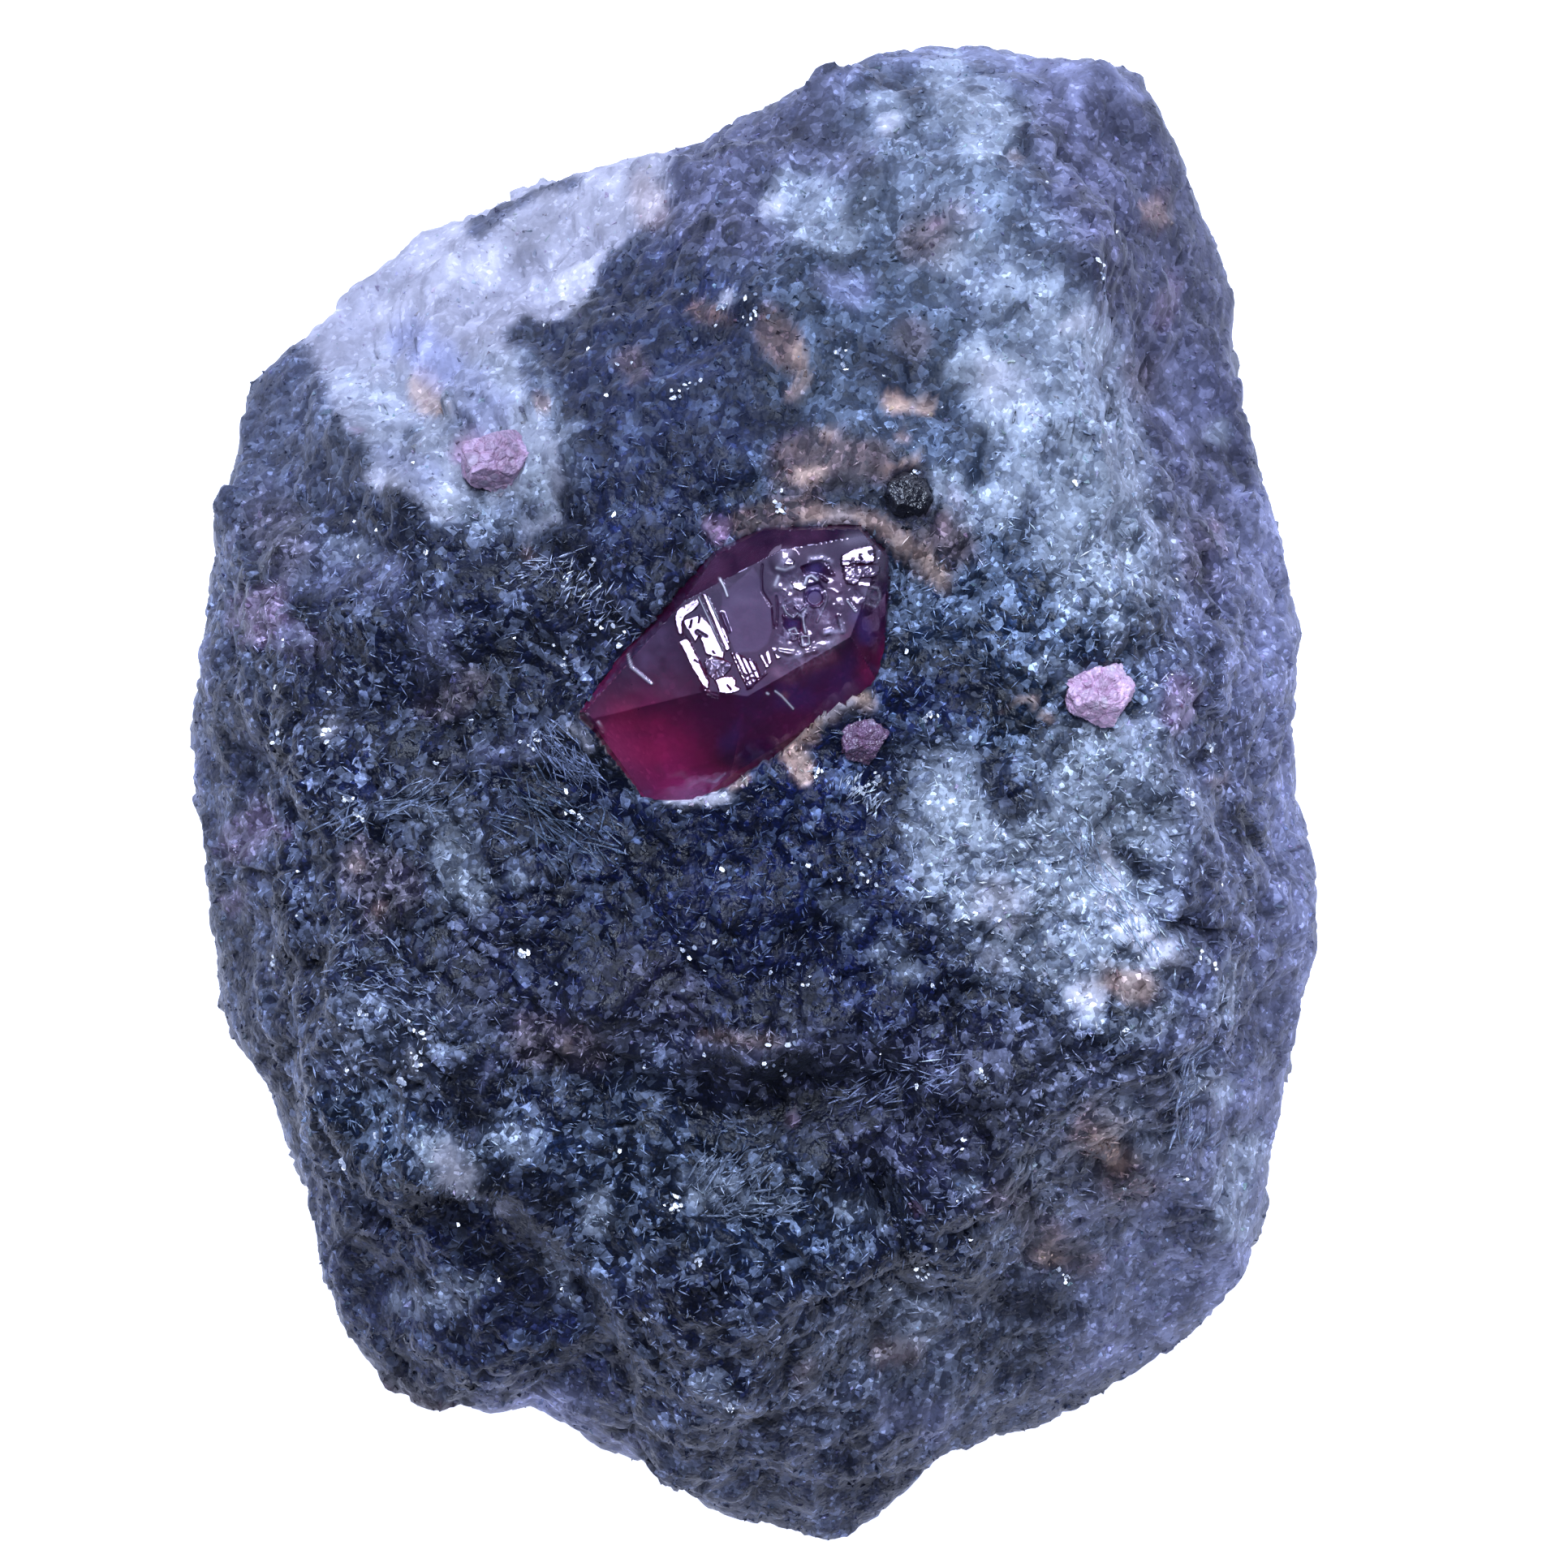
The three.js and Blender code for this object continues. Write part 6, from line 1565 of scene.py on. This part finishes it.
# Painted highlights in the etched places: thin bright veins along the wrinkles, and a misty glow.
mist = ((ruby_finish.noise(0.8) - 0.46) * 4).clipped()
veins = 0.0
for size, thinness in ((0.5, 26), (0.24, 18)):
    fold = ruby_finish.noise(size, 2.0) - 0.5
    veins = veins + (1 - fold * fold * thinness ** 2).clipped()
lit = (etching * (0.03 * mist + veins * (0.02 + 0.18 * mist))).clipped()
frost_and_painted_light_bsdf = ruby_finish.node("ShaderNodeBsdfPrincipled", {}, {
    "Base Color": ruby_finish.blend((lit * 2.5).clipped(), ruby_finish.attribute("frost_and_painted_light_tone")["Color"],
                                    FROST_AND_HIGHLIGHT),
    "Roughness": 0.28, "IOR": CORUNDUM_IOR, "Specular Tint": SHEEN_TINT})
ruby_finish.set("Roughness", 0.02 + etching * (0.05 + 0.1 * mist))
frost_and_painted_light_mix = ruby_finish.node("ShaderNodeMixShader", {}, {
    0: (ruby_finish.attribute("frost")["Fac"] + lit).clipped(),
    1: Wire(ruby_finish, ruby_finish.shader.outputs["BSDF"]), 2: frost_and_painted_light_bsdf["BSDF"]})
ruby_finish.fill(output.inputs["Surface"], frost_and_painted_light_mix["Shader"])
ruby_finish.on(ruby)
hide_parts("ruby_crystal")
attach(ruby, "root")


# ---- Smaller crystals in the rock -------------------------------------------------------------
# A pale pink and a mauve corundum grain, a small clouded ruby beside the big one, and a black
# glassy grain. Each is a separate crystal that the rock holds by its lower part.

BANDS, TURNS = 64, 128           # steps from pole to pole and round
# Relief: size and depth of the coarse broken grains, then of the fine ones.
CRYSTAL_RELIEF = {
    "pink_corundum_right": (0.42, 0.07, 0.16, 0.03),
    "pink_corundum_left": (0.5, 0.05, 0.2, 0.02),
    "ruby_small": (0.3, 0.06, 0.12, 0.03),
    "dark_grain": (0.45, 0.03, 0.2, 0.008),
}


def faceted_grain(place, half, turn, proud, faces, relief):
    """Rays from the middle go out to the nearest of a set of planes, each as far out as an
    ellipsoid reaches in its direction, and the broken grains' relief moves each point along its
    ray. The rays follow bands and turns of a ball, with one point at each pole."""
    ground = np.array([[place[0], place[1], top_height(np.array([place[0]]), np.array([place[1]]))[0]]])
    ground -= [[0, 0, WAIST_HEIGHT]]
    rise = WAIST_HEIGHT + ground[0, 2] * (1 + lumps(ground)[0] / np.linalg.norm(ground))
    middle = np.array([place[0] * taper_at(rise), place[1] * taper_at(rise), rise + proud - half[2]])
    polar = np.repeat(np.linspace(0, np.pi, BANDS + 1)[1:-1], TURNS)
    around = np.tile(np.linspace(0, 2 * np.pi, TURNS, endpoint=False), BANDS - 1)
    out = np.sin(polar)
    rays = np.stack([out * np.cos(around), out * np.sin(around), np.cos(polar)], axis=1)
    rays = np.concatenate([rays, [[0, 0, 1], [0, 0, -1]]])
    reach = np.full(len(rays), np.inf)
    angle = np.radians(turn)
    for i in range(faces):
        normal = spread_direction(i, faces)
        lx = normal[0] * np.cos(angle) + normal[1] * np.sin(angle)
        ly = normal[1] * np.cos(angle) - normal[0] * np.sin(angle)
        distance = np.hypot(np.hypot(lx * half[0], ly * half[1]), normal[2] * half[2])
        toward = rays @ normal
        reach = np.minimum(reach, np.where(toward > 0.05, distance / np.maximum(toward, 0.05), np.inf))
    points = middle + rays * reach[:, None]
    coarse, coarse_depth, fine, fine_depth = relief
    for size, depth, salt in ((coarse, coarse_depth, 400), (fine, fine_depth, 420)):
        number, slope, border = grain_field(points, size, salt)
        reach = reach + depth * (number - 0.7 + 1.2 * slope - 0.9 * np.exp(-border / 0.1))
    points = middle + rays * reach[:, None]
    index = np.arange((BANDS - 1) * TURNS).reshape(BANDS - 1, TURNS)
    turned = np.roll(index, -1, axis=1)
    quads = np.stack([index[:-1], index[1:], turned[1:], turned[:-1]], axis=-1)
    top = np.stack([index[0], turned[0], np.full(TURNS, len(points) - 2)], axis=-1)
    bottom = np.stack([turned[-1], index[-1], np.full(TURNS, len(points) - 1)], axis=-1)
    return points, [quads.reshape(-1, 4), top, bottom]


# Colours: the body, the veins between its grains, and the pale broken spots.
CRYSTAL_COLORS = {
    "pink_corundum_right": ((0.76, 0.52, 0.71), (0.56, 0.30, 0.48), (0.86, 0.72, 0.84)),
    "pink_corundum_left": ((0.40, 0.27, 0.40), (0.33, 0.17, 0.27), (0.50, 0.40, 0.52)),
    "ruby_small": ((0.22, 0.13, 0.22), (0.12, 0.04, 0.09), (0.52, 0.42, 0.58)),
    "dark_grain": ((0.006, 0.006, 0.012), (0.003, 0.003, 0.006), (0.02, 0.02, 0.035)),
}
# Polish, from glassy to sugary, and the material slot.
CRYSTAL_POLISH = {
    "pink_corundum_right": (0.3, "pink_corundum"),
    "pink_corundum_left": (0.42, "pink_corundum"),
    "ruby_small": (0.16, "clouded_ruby"),
    "dark_grain": (0.08, "dark_mineral"),
}
for name, (place, half, turn, proud, faces) in SMALL_CRYSTALS.items():
    grain_points, grain_faces = faceted_grain(place, half, turn, proud, faces, CRYSTAL_RELIEF[name])
    crystal = new_piece(f"{name}_crystal", grain_points, grain_faces)
    body, vein, spot = (np.array(color) for color in CRYSTAL_COLORS[name])
    number, _, border = grain_field(grain_points, 0.42, 440)
    spots = smooth_step(cloud(grain_points, 0.5, 460) * 2 - 0.2)[:, None]
    veins = np.exp(-border / 0.12)[:, None]
    tone = body + spots * (spot - body)
    tone = (tone + 0.8 * veins * (vein - tone)) * (0.8 + 0.4 * number[:, None])
    paint(crystal, "tone", tone)
    polish, slot = CRYSTAL_POLISH[name]
    crystal_finish = Finish(f"{name}_finish", IOR=CORUNDUM_IOR)
    sugar, sugar_polish, _, sugar_dome = crystal_finish.cells(0.12)
    crystal_finish.set("Base Color", crystal_finish.scaled(
        crystal_finish.attribute("tone")["Color"], 0.8 + 0.4 * sugar))
    crystal_finish.set("Roughness", polish + 0.25 * sugar_polish)
    crystal_finish.bump(sugar_dome + crystal_finish.noise(0.08), 0.02)
    crystal_finish.on(crystal)
    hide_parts(name)
    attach(crystal, "root")


# ---- Set: floor, lights and camera ------------------------------------------------------------
# The stone lies on a pale lit table. A large soft light stands over its blunt end, a small one
# close to the camera, and the camera looks straight down.

IMAGE_WIDTH, IMAGE_HEIGHT = 1932, 1931
STONE_LENGTH_PIXELS = 1853       # the stone's length in the rendered frame
STONE_LENGTH = 45.0
MIDDLE_PIXEL = (928, 973.5)      # the middle of the stone in the rendered frame
CAMERA_HEIGHT = 260              # above the waist
SENSOR = 36
pixel = STONE_LENGTH / STONE_LENGTH_PIXELS
frame_width = IMAGE_WIDTH * pixel
camera_data = bpy.data.cameras.new("camera")
camera_data.sensor_width = SENSOR
camera_data.lens = SENSOR * CAMERA_HEIGHT / frame_width
camera_data.clip_start = 0.01
camera = bpy.data.objects.new("camera", camera_data)
camera.location = (
    (IMAGE_WIDTH / 2 - MIDDLE_PIXEL[0]) * pixel * MM,
    (MIDDLE_PIXEL[1] - IMAGE_HEIGHT / 2) * pixel * MM,
    (WAIST_HEIGHT + CAMERA_HEIGHT) * MM,
)
bpy.context.scene.collection.objects.link(camera)
bpy.context.scene.camera = camera
bpy.context.scene.view_settings.view_transform = "Standard"

FLOOR_SIZE = 2000
FLOOR_GAP = 0.2                  # the floor lies this far under the resting face
bpy.ops.mesh.primitive_plane_add(size=FLOOR_SIZE * MM, location=(0, 0, -FLOOR_GAP * MM))
floor = bpy.context.object
floor.name = "floor"
floor_finish = bpy.data.materials.new("pale_table")
floor_finish.use_nodes = True
shader = floor_finish.node_tree.nodes["Principled BSDF"]
shader.inputs["Base Color"].default_value = (0.5, 0.5, 0.55, 1)
shader.inputs["Emission Color"].default_value = (0.78, 0.82, 1.05, 1)
shader.inputs["Emission Strength"].default_value = 1.3
floor.data.materials.append(floor_finish)

# The room is dark blue-grey, with a bright ceiling over the stone and its blunt end.
CEILING_TOWARD = leaning(80, 22)
world = bpy.data.worlds.new("studio")
bpy.context.scene.world = world
world.use_nodes = True
sky = world.node_tree
direction = sky.nodes.new("ShaderNodeTexCoord")
facing = sky.nodes.new("ShaderNodeVectorMath")
facing.operation = "DOT_PRODUCT"
facing.inputs[1].default_value = tuple(CEILING_TOWARD)
spread = sky.nodes.new("ShaderNodeMapRange")
spread.interpolation_type = "SMOOTHSTEP"
CEILING_EDGE, CEILING_FULL = 0.66, 0.95  # cosines of the angle from its middle
ROOM_GLOW = 0.09                 # the room's brightness, against 1 for the ceiling
spread.inputs["From Min"].default_value = CEILING_EDGE
spread.inputs["From Max"].default_value = CEILING_FULL
spread.inputs["To Min"].default_value = ROOM_GLOW
spread.inputs["To Max"].default_value = 1.0
sky.links.new(direction.outputs["Generated"], facing.inputs[0])
sky.links.new(facing.outputs["Value"], spread.inputs["Value"])
sky.links.new(spread.outputs["Result"], sky.nodes["Background"].inputs["Strength"])
sky.nodes["Background"].inputs["Color"].default_value = (0.67, 0.79, 1.13, 1)

LIGHTS_AIM = (0, 0, 20)


def soft_light(name, place, size, power, color):
    """Square area light at a place in millimetres, facing the top of the stone."""
    data = bpy.data.lights.new(name, "AREA")
    data.size = size * MM
    data.energy = power
    data.color = color
    light = bpy.data.objects.new(name, data)
    at = Vector(place) * MM
    light.location = at
    light.rotation_euler = (Vector(LIGHTS_AIM) * MM - at).to_track_quat("-Z", "Y").to_euler()
    bpy.context.scene.collection.objects.link(light)


soft_light("key", (-60, 230, 220), 160, 0.7, (0.71, 0.84, 1.12))
soft_light("lens_light", LENS_LIGHT, 60, 0.42, (0.80, 0.89, 1.08))
